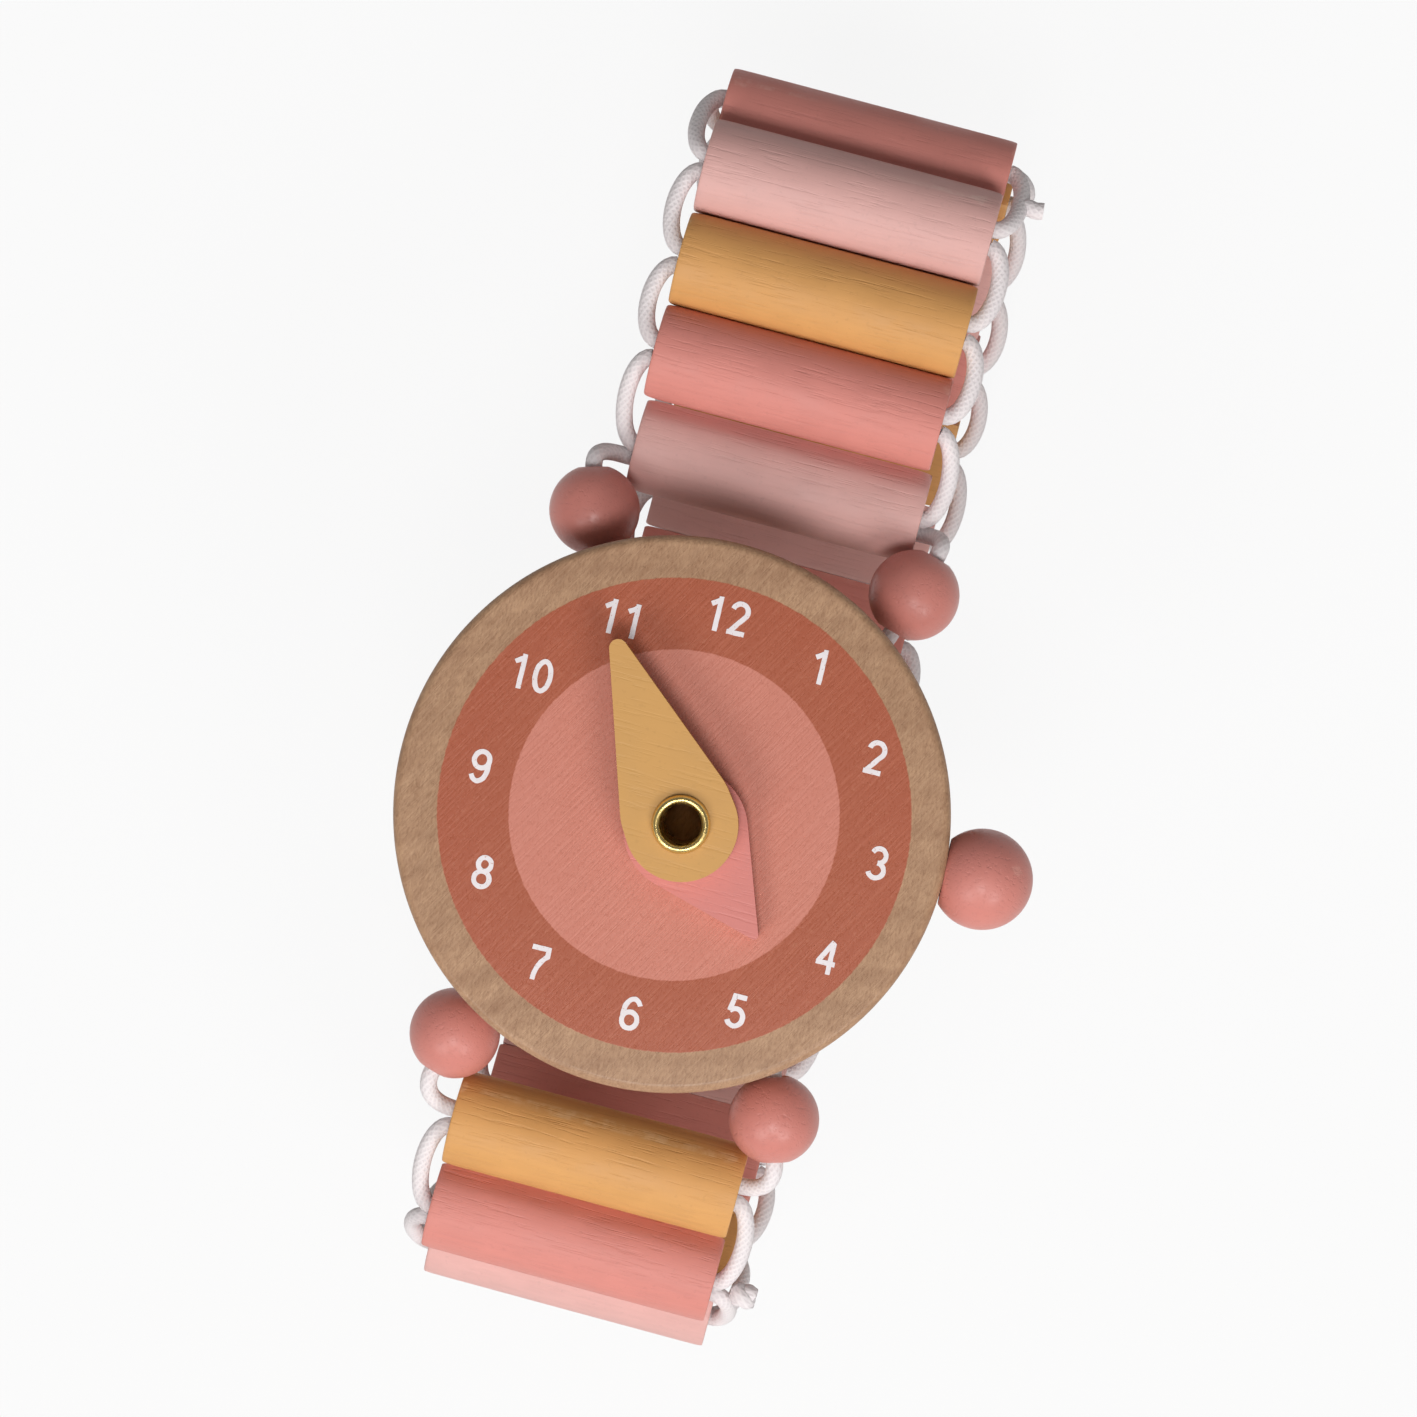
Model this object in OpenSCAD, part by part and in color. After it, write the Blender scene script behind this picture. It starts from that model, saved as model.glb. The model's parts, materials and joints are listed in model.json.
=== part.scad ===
// Wooden toy watch on an elastic strap of laced, half round slats
// +X runs to 3 o'clock, +Y to 12 o'clock and +Z out of the dial
// The origin is the middle of the base block's underside, which lies on the wrist

/* [Dial] */
// Diameter of the wooden dial disc
dial_d = 40.5; // [38:0.5:41]
// Thickness of the dial disc
dial_t = 6; // [5:0.5:8]
// Round-over of the disc's front edge
dial_front_round = 0.7; // [0.3:0.1:1.2]
// Round-over of the disc's back edge
dial_back_round = 0.4; // [0.2:0.1:1]
// How far the eyelet sits off the disc's middle towards 3 o'clock
hole_right = 0.95; // [0:0.05:1.2]
// How far the eyelet sits off the disc's middle towards 6 o'clock
hole_down = 0.4; // [0:0.05:1]

/* [Base block] */
// Width of the block, along the slats
block_w = 19; // [17:0.5:19.5]
// Length of the block, along the strap
block_l = 33; // [32:0.5:34]
// Height of the block
block_h = 6.5; // [6:0.5:8]
// Radius of the block's upright corners
block_corner_r = 1.5; // [1:0.1:1.8]
// Distance from each end of the block to its cross hole
cross_hole_inset = 2; // [1.8:0.1:3]
// Height of the cross holes above the underside
cross_hole_z = 3; // [2.6:0.1:3.4]
// Radius of the cross holes
cross_hole_r = 0.9; // [0.75:0.05:1.1]

/* [Eyelet] */
// Inner radius of the hollow eyelet
eyelet_in_r = 1.45; // [1.2:0.05:1.5]
// Wall of the eyelet's barrel
eyelet_wall = 0.25; // [0.2:0.05:0.4]
// Width of the rolled front flange beyond the barrel
flange_w = 0.42; // [0.3:0.02:0.6]
// Height of the rolled front flange
flange_h = 0.55; // [0.4:0.05:0.7]
// Width of the rolled back flange beyond the barrel
back_roll_w = 0.6; // [0.4:0.05:0.8]
// Clear space round the back flange in its recess
recess_gap = 0.3; // [0.1:0.05:0.5]
// Depth of the recess for the back flange
recess_h = 1; // [0.8:0.1:1.4]

/* [Hands] */
// Thickness of each hand
hand_t = 1.6; // [1.2:0.1:2]
// Clear space under each hand and under the flange
hand_gap = 0.1; // [0.05:0.05:0.3]
// Clearance round the barrel, on the radius
hand_fit = 0.05; // [0.02:0.01:0.1]
// Length of the minute hand from its pivot
minute_l = 14.1; // [12:0.1:16]
// Half width of the minute hand at its widest
minute_half_w = 4.05; // [3.6:0.05:4.4]
// Radius of the minute hand's blunt tip
minute_tip_r = 0.65; // [0.4:0.05:0.9]
// Radius of the minute hand's round tail
minute_tail_r = 4.1; // [3:0.05:4.4]
// Length of the minute hand's tail from its pivot
minute_tail_l = 4.15; // [3.8:0.05:5]
// Angle of the minute hand, clockwise from 12 o'clock
minute_angle = -34.6; // [-180:0.1:180]
// Length of the hour hand from its pivot
hour_l = 9.9; // [8.5:0.1:11]
// Half width of the hour hand at its widest
hour_half_w = 4.5; // [3.4:0.05:4.6]
// Radius of the hour hand's tip
hour_tip_r = 0.3; // [0.25:0.05:0.6]
// Angle of the hour hand, clockwise from 12 o'clock
hour_angle = 132.1; // [-180:0.1:180]
// How far each hand's widest place lies beyond its pivot
belly_out = 1; // [0.3:0.1:1.5]

/* [Crown] */
// Radius of the ball at 3 o'clock
crown_r = 3.7; // [3.3:0.1:4.2]
// Turn of the ball round the dial, from 3 o'clock towards 12 o'clock
crown_turn = 3; // [0:0.5:4]
// Distance from the ball's centre to its glued flat
crown_flat = 2.8; // [2.4:0.1:3]
// Radius of the dowel that holds the ball
peg_r = 1; // [0.8:0.1:1.4]
// Depth of the dowel in the disc
peg_depth = 6; // [4:0.5:8]
// Depth of the dowel in the ball
peg_in_ball = 3; // [2:0.1:4]

/* [Corner beads] */
// Radius of each corner bead
bead_r = 3.35; // [3.2:0.05:3.6]
// Length of the flattened bead along its hole
bead_l = 6.3; // [5.8:0.1:6.5]
// Clearance round the strand in the bead's hole, on the radius
bead_fit = 0.1; // [0.05:0.01:0.1]
// Depth of the flared mouths of the bead's hole
bead_flare = 0.35; // [0.2:0.05:0.6]
// Outward lean of the bead's hole from the strap's direction
bead_lean = 16; // [10:1:20]
// Clear space between a bead and the end of the block
bead_gap = 0.15; // [0.1:0.05:0.4]
// Least clear space between a bead and the disc
disc_clearance = 0.09; // [0.05:0.01:0.2]
// How far a bead's centre lies beyond the ends of the slats
bead_out = 1.25; // [1.2:0.05:2.2]
// How far a bead nests into the corner of the first slat
bead_nest = 0.65; // [0:0.05:0.7]
// How much higher a bead sits than the block's cross holes
bead_lift = 1.8; // [1.6:0.1:2.2]

/* [Slats] */
// Length of each slat
slat_l = 21.9; // [21:0.1:23]
// Width of each slat
slat_w = 6.9; // [6.8:0.05:6.95]
// Thickness of each slat at its crown
slat_t = 4.5; // [4.3:0.1:4.8]
// Radius of the dowel that the slat is cut from
slat_r = 3.5; // [3.48:0.01:3.55]
// Easing of the slat's two ends
slat_end_round = 0.35; // [0.1:0.05:0.6]
// Gap between neighbouring slats
slat_gap = 0.15; // [0.1:0.05:0.3]
// Height of the bore above the flat inner face
slat_bore_h = 2.1; // [2:0.05:2.3]
// Clearance round the two strands in the slat's bore, on the radius
slat_bore_fit = 0.08; // [0.05:0.01:0.2]
// How far the strap sits towards 3 o'clock
strap_shift = 0.7; // [0:0.1:0.9]
// Height of the inner faces of the level slats at 12 o'clock
upper_seat_z = 2.6; // [2.4:0.1:2.8]
// How much further out the first slat at 12 o'clock starts
upper_step = 1; // [0.8:0.1:1.4]

/* [Elastic] */
// Thickness of the elastic
cord_d = 1.2; // [1.1:0.02:1.2]
// Gap between the two strands in a slat
strand_gap = 0.09; // [0.06:0.01:0.12]
// How far a loop's centre line bulges beyond the slats' ends
loop_bulge = 1.4; // [1.3:0.05:1.7]
// Distance from the slats' ends to the middle of the knot
knot_out = 2.4; // [2:0.1:3]
// Length of each cut end
tail_l = 1.2; // [0.8:0.1:1.6]

/* [Hidden] */
$fn = 64;
overrun = 1;
disc_z = block_h;
face_z = disc_z + dial_t;
crown_z = disc_z + dial_t / 2;
crown_x = dial_d / 2 + crown_flat;
cross_hole_y = block_l / 2 - cross_hole_inset;
barrel_r = eyelet_in_r + eyelet_wall;
hand_bore_r = barrel_r + hand_fit;
recess_r = barrel_r + back_roll_w + recess_gap;
recess_top = disc_z + recess_h;
hour_z = face_z + hand_gap;
minute_z = hour_z + hand_t + hand_gap;
flange_z = minute_z + hand_t + hand_gap;

cord_r = cord_d / 2;
strand_off = cord_r + strand_gap / 2;
slat_bore_r = strand_off + cord_r + slat_bore_fit;
slat_pitch = slat_w + slat_gap;
bead_bore_r = cord_r + bead_fit;
bead_x = slat_l / 2 + bead_out;
bead_z = cross_hole_z + bead_lift;
// A bead that is too high to pass under the disc's edge lies beside it
bead_drop = disc_z + dial_back_round - bead_z;
bead_reach = bead_r + dial_back_round + disc_clearance;
beside_disc_r = dial_d / 2 - dial_back_round + sqrt(max(0, bead_reach ^ 2 - bead_drop ^ 2));
inner_bead_x = bead_x - strap_shift;
beside_disc_y = bead_drop < bead_reach ? sqrt(max(0, beside_disc_r ^ 2 - inner_bead_x ^ 2)) : 0;
bead_y = max(block_l / 2 + bead_r + bead_gap, beside_disc_y);
strap_start_y = bead_y + bead_r - bead_nest;
// Sideways lean of the strap for each unit of depth
strap_lean_share = 0.07;

// Angles below are the direction of each slat, from level and turning down
first_tilt = -40;
upper_heads = [first_tilt, 0, 0, 4, 90, 118];
lower_heads = [0, 45, 92];
ramp_count = 3;
level_count = 3;

// Where the strap starts at 12 o'clock and at 6 o'clock, as y and z
upper_start = [strap_start_y + upper_step, upper_seat_z + slat_pitch * sin(first_tilt)];
lower_start = [strap_start_y, cross_hole_z - slat_bore_h];

function heading(angle) = [cos(angle), -sin(angle)];
function outward(angle) = [sin(angle), cos(angle)];
function corner(start, heads, i) =
    i == 0 ? start : corner(start, heads, i - 1) + slat_pitch * heading(heads[i - 1]);

// The two ramps lead down to the level slats under the wrist, and the strap has to meet itself there
upper_turn = corner(upper_start, upper_heads, len(upper_heads));
lower_turn = corner(lower_start, lower_heads, len(lower_heads));
ramp_l = ramp_count * slat_pitch;
function ramp_angle(z, belly_z) = asin((z - belly_z) / ramp_l);
function spare(belly_z) =
    ramp_l * cos(ramp_angle(upper_turn[1], belly_z)) + ramp_l * cos(ramp_angle(lower_turn[1], belly_z))
    + 2 * level_count * slat_pitch - upper_turn[0] - lower_turn[0];
function find_belly(low, high, tries) =
    let (middle = (low + high) / 2)
    tries == 0 ? middle
    : spare(middle) > 0 ? find_belly(low, middle, tries - 1)
    : find_belly(middle, high, tries - 1);
highest_belly = min(upper_turn[1], lower_turn[1]);
lowest_belly = max(upper_turn[1], lower_turn[1]) - ramp_l;
belly_z = find_belly(lowest_belly, highest_belly, 40);

function ramp_heads(z) = [for (i = [1:ramp_count]) 180 - ramp_angle(z, belly_z)];
level_heads = [for (i = [1:level_count]) 180];
upper_all = concat(upper_heads, ramp_heads(upper_turn[1]), level_heads);
lower_all = concat(lower_heads, ramp_heads(lower_turn[1]), level_heads);
slat_count = len(upper_all) + len(lower_all);

// Each slat is [x, y, z, angle, side], with y and z at its near inner edge and side 1 at 12 o'clock
function slat_row(start, heads, i, side) =
    let (p = corner(start, heads, i))
    [strap_shift + strap_lean_share * (upper_seat_z - p[1]), p[0], p[1], heads[i], side];
slats = concat(
    [for (i = [0:len(upper_all) - 1]) slat_row(upper_start, upper_all, i, 1)],
    [for (i = [len(lower_all) - 1:-1:0]) slat_row(lower_start, lower_all, i, -1)]
);

// A point in a slat's own frame: x along it, y away from the dial, z out of its crown
function on_slat(k, p) =
    let (s = slats[k - 1], yz = p[1] * heading(s[3]) + p[2] * outward(s[3]))
    [s[0] + p[0], s[4] * (s[1] + yz[0]), s[2] + yz[1]];

// Tubes along a route
cord_sides = 6;
function unit(v) = v / norm(v);
function square_to(n, t) = unit(n - (n * t) * t);
function tangents(p, first, last) = [
    for (i = [0:len(p) - 1])
        i == 0 ? first
        : i == len(p) - 1 ? last
        : unit(unit(p[i + 1] - p[i]) + unit(p[i] - p[i - 1]))
];
function normal_at(t, i) = i == 0 ? square_to([0, 0, 1], t[0]) : square_to(normal_at(t, i - 1), t[i]);
function ring(p, t, n, r) = [
    for (j = [0:cord_sides - 1])
        let (a = 360 * j / cord_sides)
        p + r * (cos(a) * n + sin(a) * cross(t, n))
];

module tube(points, first, last, r) {
    t = tangents(points, first, last);
    rings = [for (i = [0:len(points) - 1]) ring(points[i], t[i], normal_at(t, i), r)];
    corners = [for (loop = rings) each loop];
    n = cord_sides;
    top = len(corners) - n;
    sides = [
        for (i = [0:len(points) - 2], j = [0:n - 1])
            let (a = i * n + j, b = i * n + (j + 1) % n)
            each [[a, a + n, b + n], [a, b + n, b]]
    ];
    caps = [for (j = [1:n - 2]) each [[0, j, j + 1], [top, top + j + 1, top + j]]];
    polyhedron(corners, concat(sides, caps), convexity = 8);
}

// Routes of the elastic
strand_steps = 6;
loop_steps = 8;
link_steps = 6;
to_bead_steps = 3;
// How far the elastic holds its direction near each end, in thicknesses of the elastic
to_bead_pull_share = 3.25;
link_pull_share = 4.25;
to_bead_pull = to_bead_pull_share * cord_d;
link_pull = link_pull_share * cord_d;
function hermite(a, ta, b, tb, t) =
    (2 * t ^ 3 - 3 * t ^ 2 + 1) * a + (t ^ 3 - 2 * t ^ 2 + t) * ta
    + (3 * t ^ 2 - 2 * t ^ 3) * b + (t ^ 3 - t ^ 2) * tb;

function strand(k, sx) = [
    for (i = [0:strand_steps])
        let (t = i / strand_steps)
        on_slat(k, [
            sx * (t - 1 / 2) * slat_l,
            slat_pitch / 2 - strand_off * cos(180 * t),
            slat_bore_h + sx * strand_off * sin(180 * t)
        ])
];
function mouth(k, sx, sy) =
    on_slat(k, [sx * slat_l / 2, slat_pitch / 2 + sy * strand_off, slat_bore_h]);
function last_upper(k) = k == len(upper_all);
function loop_end(k, sx) =
    last_upper(k) ? mouth(k + 1, sx, 1)
    : k < len(upper_all) ? mouth(k + 1, sx, -1)
    : mouth(k - 1, sx, -1);
function side_loop(k, sx) =
    let (a = mouth(k, sx, 1), b = loop_end(k, sx))
    [
        for (i = [1:loop_steps])
            let (t = 180 * i / loop_steps)
            a * (1 + cos(t)) / 2 + b * (1 - cos(t)) / 2 + [sx * loop_bulge * sin(t), 0, 0]
    ];
function bead_place(sx, sy) = [strap_shift + sx * bead_x, sy * bead_y, bead_z];
function bead_axis(sx, sy) = [sx * sin(bead_lean), sy * cos(bead_lean), 0];
function bead_link(k, sx) =
    let (
        sy = slats[k - 1][4],
        start = [sx * block_w / 2, sy * cross_hole_y, cross_hole_z],
        axis = bead_axis(sx, sy),
        near = bead_place(sx, sy) - axis * bead_l / 2,
        far = bead_place(sx, sy) + axis * bead_l / 2,
        out = [sx, 0, 0]
    )
    concat(
        [for (i = [0:to_bead_steps - 1])
            hermite(start, out * to_bead_pull, near, axis * to_bead_pull, i / to_bead_steps)],
        [near],
        [for (i = [0:link_steps - 1])
            hermite(far, axis * link_pull, mouth(k, sx, -1), -out * link_pull, i / link_steps)]
    );
function has_link(k) = k == 1 || k == slat_count;
function has_loop(k) = k != len(upper_all) + 1;

function rounded_outline(r, h, top, bottom) = concat(
    [[0, 0]],
    [for (a = [-90:15:0]) [r - bottom + bottom * cos(a), bottom + bottom * sin(a)]],
    [for (a = [0:15:90]) [r - top + top * cos(a), h - top + top * sin(a)]],
    [[0, h]]
);

module rounded_plate(w, l, h, r) {
    translate([-w / 2, -l / 2 + r, 0]) cube([w, l - 2 * r, h]);
    translate([-w / 2 + r, -l / 2, 0]) cube([w - 2 * r, l, h]);
    for (sx = [-1, 1], sy = [-1, 1])
        translate([sx * (w / 2 - r), sy * (l / 2 - r), 0]) cylinder(r = r, h = h);
}

// Two discs of different size, joined by their common tangents
module taper(from_y, from_r, to_y, to_r) {
    lean = asin((from_r - to_r) / (to_y - from_y));
    translate([0, from_y]) circle(r = from_r);
    translate([0, to_y]) circle(r = to_r);
    polygon([
        for (s = [-1, 1]) [s * from_r * cos(lean), from_y + from_r * sin(lean)],
        for (s = [1, -1]) [s * to_r * cos(lean), to_y + to_r * sin(lean)]
    ]);
}

// A ball about the Z axis, cut flat at each pole
module turned_ball(r, below, above) {
    rotate_extrude() intersection() {
        circle(r = r);
        translate([0, -below]) square([r, below + above]);
    }
}

// Moves a piece from the dial's axis to the eyelet's
module at_hole(z) {
    translate([hole_right, -hole_down, z]) children();
}

// Lays an upright piece along the crown's axis, from a distance off the disc's middle
module at_crown(distance) {
    rotate([0, 0, crown_turn]) translate([distance, 0, crown_z]) rotate([0, 90, 0]) children();
}

module dial_disc() {
    color("burlywood") difference() {
        translate([0, 0, disc_z])
            rotate_extrude() polygon(rounded_outline(dial_d / 2, dial_t, dial_front_round, dial_back_round));
        at_hole(disc_z - overrun) cylinder(r = barrel_r, h = dial_t + 2 * overrun);
        at_hole(disc_z - overrun) cylinder(r = recess_r, h = recess_h + overrun);
        at_crown(dial_d / 2 - peg_depth) cylinder(r = peg_r, h = peg_depth + overrun);
    }
}

module base_block() {
    color("peru") difference() {
        rounded_plate(block_w, block_l, block_h, block_corner_r);
        for (sy = [-1, 1])
            translate([-block_w / 2 - overrun, sy * cross_hole_y, cross_hole_z])
                rotate([0, 90, 0]) cylinder(r = cross_hole_r, h = block_w + 2 * overrun);
    }
}

// Half an ellipse that starts at the eyelet's inner wall
function rolled_rim(width, z, height, angles) =
    let (reach = (eyelet_wall + width) / 2)
    [for (a = angles) [eyelet_in_r + reach + reach * cos(a), z + height * sin(a)]];

// A sheet metal tube with both ends rolled outwards
module eyelet() {
    color("gold") at_hole(0) rotate_extrude() polygon(concat(
        rolled_rim(flange_w, flange_z, flange_h, [0:15:180]),
        rolled_rim(back_roll_w, recess_top, -flange_h, [180:-15:0]),
        [[barrel_r, recess_top], [barrel_r, flange_z]]
    ));
}

module hour_hand() {
    color("lightcoral") at_hole(hour_z) rotate([0, 0, -hour_angle]) difference() {
        linear_extrude(hand_t) taper(belly_out / 2, hour_half_w, hour_l - hour_tip_r, hour_tip_r);
        translate([0, 0, -overrun]) cylinder(r = hand_bore_r, h = hand_t + 2 * overrun);
    }
}

module minute_hand() {
    color("goldenrod") at_hole(minute_z) rotate([0, 0, -minute_angle]) difference() {
        linear_extrude(hand_t) {
            taper(belly_out, minute_half_w, minute_l - minute_tip_r, minute_tip_r);
            taper(minute_tail_r - minute_tail_l, minute_tail_r, belly_out, minute_half_w);
        }
        translate([0, 0, -overrun]) cylinder(r = hand_bore_r, h = hand_t + 2 * overrun);
    }
}

module crown_ball() {
    color("indianred") at_crown(crown_x) difference() {
        turned_ball(crown_r, crown_flat, crown_r);
        translate([0, 0, -crown_flat - overrun]) cylinder(r = peg_r, h = peg_in_ball + overrun);
    }
}

module crown_peg() {
    color("burlywood") at_crown(dial_d / 2 - peg_depth) cylinder(r = peg_r, h = peg_depth + peg_in_ball);
}

// A drilled ball with a small flat and a flared mouth at each end of its hole
module corner_bead(sx, sy) {
    color("indianred") translate(bead_place(sx, sy)) rotate([0, 0, -sx * sy * bead_lean])
        rotate([-90, 0, 0]) difference() {
            turned_ball(bead_r, bead_l / 2, bead_l / 2);
            translate([0, 0, -bead_r - overrun]) cylinder(r = bead_bore_r, h = 2 * (bead_r + overrun));
            for (s = [0, 1]) mirror([0, 0, s])
                translate([0, 0, bead_l / 2 - bead_flare])
                    cylinder(r1 = bead_bore_r, r2 = bead_bore_r + bead_flare, h = bead_flare);
        }
}

// A dowel with eased ends, cut flat inside and trimmed to width, with a bore for two strands
module plain_slat() {
    difference() {
        intersection() {
            translate([-slat_l / 2, 0, slat_t - slat_r]) rotate([0, 90, 0])
                rotate_extrude() polygon(rounded_outline(slat_r, slat_l, slat_end_round, slat_end_round));
            translate([-slat_l / 2 - overrun, -slat_w / 2, 0])
                cube([slat_l + 2 * overrun, slat_w, slat_t + overrun]);
        }
        translate([-slat_l / 2 - overrun, 0, slat_bore_h])
            rotate([0, 90, 0]) cylinder(r = slat_bore_r, h = slat_l + 2 * overrun);
    }
}

function slat_colour(k) = k % 3 == 1 ? "pink" : k % 3 == 2 ? "salmon" : "goldenrod";

module on_strap(k) {
    s = slats[k - 1];
    mirror([0, s[4] < 0 ? 1 : 0, 0])
        translate([s[0], s[1], s[2]]) rotate([-s[3], 0, 0]) children();
}

module slat(k) {
    color(slat_colour(k)) on_strap(k) translate([0, slat_pitch / 2, 0]) plain_slat();
}

// The two straight strands that join the corner beads through the block
module lacing_head() {
    color("lavender") for (sy = [-1, 1])
        translate([-block_w / 2, sy * cross_hole_y, cross_hole_z])
            rotate([0, 90, 0]) cylinder(r = cord_r, h = block_w);
}

// The two strands inside a slat cross over, and each leaves in a loop to the next slat
module lacing(k) {
    color("lavender") for (sx = [-1, 1]) {
        route = concat(
            has_link(k) ? bead_link(k, -sx) : [],
            strand(k, sx),
            has_loop(k) ? side_loop(k, sx) : []
        );
        first = has_link(k) ? [-sx, 0, 0] : [sx, 0, 0];
        last = has_loop(k) ? [-sx, 0, 0] : [sx, 0, 0];
        tube(route, first, last, cord_r);
    }
}

// The knot lies outside the right ends of the slats that turn down at 6 o'clock
knot_slat = slat_count - 1;
knot_facets = 24;
knot_turn = 60;
// Radius of the knot's core and of the strands round it, as shares of the elastic's radius
knot_core_share = 1.5;
knot_strand_share = 0.9;
module cord_knot() {
    color("lavender") translate(on_slat(knot_slat, [slat_l / 2 + knot_out, slat_pitch / 2, slat_bore_h])) {
        strand_r = knot_strand_share * cord_r;
        sphere(r = knot_core_share * cord_r);
        rotate([90, 0, 0]) rotate_extrude() translate([cord_r, 0]) circle(r = strand_r, $fn = knot_facets);
        rotate([0, knot_turn, 0]) cylinder(r = strand_r, h = tail_l);
    }
}

// The cut end beyond the right loop between the fourth and fifth slats
tail_slat = 4;
module cord_tail() {
    middle = (mouth(tail_slat, 1, 1) + loop_end(tail_slat, 1)) / 2;
    color("lavender") translate(middle + [loop_bulge + cord_r, 0, 0])
        rotate([0, 90, 0]) cylinder(r = cord_r, h = tail_l);
}

dial_disc();
base_block();
eyelet();
hour_hand();
minute_hand();
crown_ball();
crown_peg();
corner_bead(-1, 1);  // bead_upper_left
corner_bead(1, 1);  // bead_upper_right
corner_bead(-1, -1);  // bead_lower_left
corner_bead(1, -1);  // bead_lower_right
slat(1);  // slat_01
slat(2);  // slat_02
slat(3);  // slat_03
slat(4);  // slat_04
slat(5);  // slat_05
slat(6);  // slat_06
slat(7);  // slat_07
slat(8);  // slat_08
slat(9);  // slat_09
slat(10);  // slat_10
slat(11);  // slat_11
slat(12);  // slat_12
slat(13);  // slat_13
slat(14);  // slat_14
slat(15);  // slat_15
slat(16);  // slat_16
slat(17);  // slat_17
slat(18);  // slat_18
slat(19);  // slat_19
slat(20);  // slat_20
slat(21);  // slat_21
lacing_head();
lacing(1);  // lacing_01
lacing(2);  // lacing_02
lacing(3);  // lacing_03
lacing(4);  // lacing_04
lacing(5);  // lacing_05
lacing(6);  // lacing_06
lacing(7);  // lacing_07
lacing(8);  // lacing_08
lacing(9);  // lacing_09
lacing(10);  // lacing_10
lacing(11);  // lacing_11
lacing(12);  // lacing_12
lacing(13);  // lacing_13
lacing(14);  // lacing_14
lacing(15);  // lacing_15
lacing(16);  // lacing_16
lacing(17);  // lacing_17
lacing(18);  // lacing_18
lacing(19);  // lacing_19
lacing(20);  // lacing_20
lacing(21);  // lacing_21
cord_knot();
cord_tail();
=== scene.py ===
# %% [markdown]
# # A wooden toy watch on an elastic strap
# The watch is a thick wooden dial with two wooden hands on a brass eyelet. Half round wooden
# slats, laced together with round elastic, make its strap, and four wooden beads sit where the
# elastic enters the base block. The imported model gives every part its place, so the first step
# is to load it and to note its size. Blender works in metres here: sizes are written in
# millimetres, and MM turns them into metres.

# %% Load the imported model
import json
import math

import bmesh
import bpy
from mathutils import Matrix, Vector, noise


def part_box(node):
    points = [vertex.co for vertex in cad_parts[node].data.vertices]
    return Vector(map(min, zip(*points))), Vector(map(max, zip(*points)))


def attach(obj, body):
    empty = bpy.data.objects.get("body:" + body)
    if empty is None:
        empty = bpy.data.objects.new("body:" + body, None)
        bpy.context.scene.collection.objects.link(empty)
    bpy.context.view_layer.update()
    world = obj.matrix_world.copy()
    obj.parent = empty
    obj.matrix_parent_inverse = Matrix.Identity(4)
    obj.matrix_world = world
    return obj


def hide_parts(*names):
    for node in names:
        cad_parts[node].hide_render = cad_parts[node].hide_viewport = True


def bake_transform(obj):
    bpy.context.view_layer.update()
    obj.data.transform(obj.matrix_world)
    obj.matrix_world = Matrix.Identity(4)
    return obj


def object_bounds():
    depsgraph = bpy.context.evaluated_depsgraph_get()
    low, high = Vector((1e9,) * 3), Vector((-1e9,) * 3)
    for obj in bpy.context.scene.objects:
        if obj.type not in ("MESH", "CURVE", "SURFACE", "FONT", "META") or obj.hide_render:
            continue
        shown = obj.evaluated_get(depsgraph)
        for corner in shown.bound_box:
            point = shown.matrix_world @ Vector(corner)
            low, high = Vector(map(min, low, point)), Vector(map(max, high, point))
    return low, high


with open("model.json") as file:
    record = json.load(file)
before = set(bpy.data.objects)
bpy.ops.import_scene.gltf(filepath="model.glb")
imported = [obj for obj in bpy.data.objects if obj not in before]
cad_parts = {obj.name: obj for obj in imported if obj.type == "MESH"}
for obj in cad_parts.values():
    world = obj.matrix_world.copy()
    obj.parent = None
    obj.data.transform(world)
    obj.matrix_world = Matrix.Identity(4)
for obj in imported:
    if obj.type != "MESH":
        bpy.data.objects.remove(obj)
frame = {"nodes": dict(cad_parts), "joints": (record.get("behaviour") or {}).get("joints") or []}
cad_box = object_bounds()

MM = 0.001
print("size in mm:", [round((b - a) / MM, 1) for a, b in zip(*cad_box)])

# %% [markdown]
# ## Helpers for node trees
# Shader nodes and Geometry Nodes are both trees of nodes with links. Two small functions make
# a script for such a tree short enough to read: one adds a node and fills its inputs, and one
# does a sum with a Math node. A value that is a socket is linked, and any other value is set.
# The rest are shorthands for the nodes that come back most.

# %% Add a node, and do a sum
def add(tree, kind, values=None, **settings):
    node = tree.nodes.new(kind)
    for name, value in settings.items():
        setattr(node, name, value)
    for name, value in (values or {}).items():
        if isinstance(value, bpy.types.NodeSocket):
            tree.links.new(value, node.inputs[name])
        else:
            node.inputs[name].default_value = value
    return node


def feed(node, name, value):
    node.id_data.links.new(value, node.inputs[name])


def calc(tree, operation, *values):
    return add(tree, "ShaderNodeMath", dict(enumerate(values)), operation=operation).outputs[0]


def times(tree, a, b):
    return calc(tree, "MULTIPLY", a, b)


def vector_sum(tree, operation, *values, output="Vector"):
    node = add(tree, "ShaderNodeVectorMath", dict(enumerate(values)), operation=operation)
    return node.outputs[output]


def apart(tree, vector):
    return add(tree, "ShaderNodeSeparateXYZ", {0: vector}).outputs


def together(tree, x, y=0.0, z=0.0):
    return add(tree, "ShaderNodeCombineXYZ", {0: x, 1: y, 2: z}).outputs[0]


def object_place(tree):
    return add(tree, "ShaderNodeTexCoord").outputs["Object"]


def mixed(tree, share, a, b):
    return add(tree, "ShaderNodeMix", {0: share, 6: a, 7: b}, data_type="RGBA").outputs[2]


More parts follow.
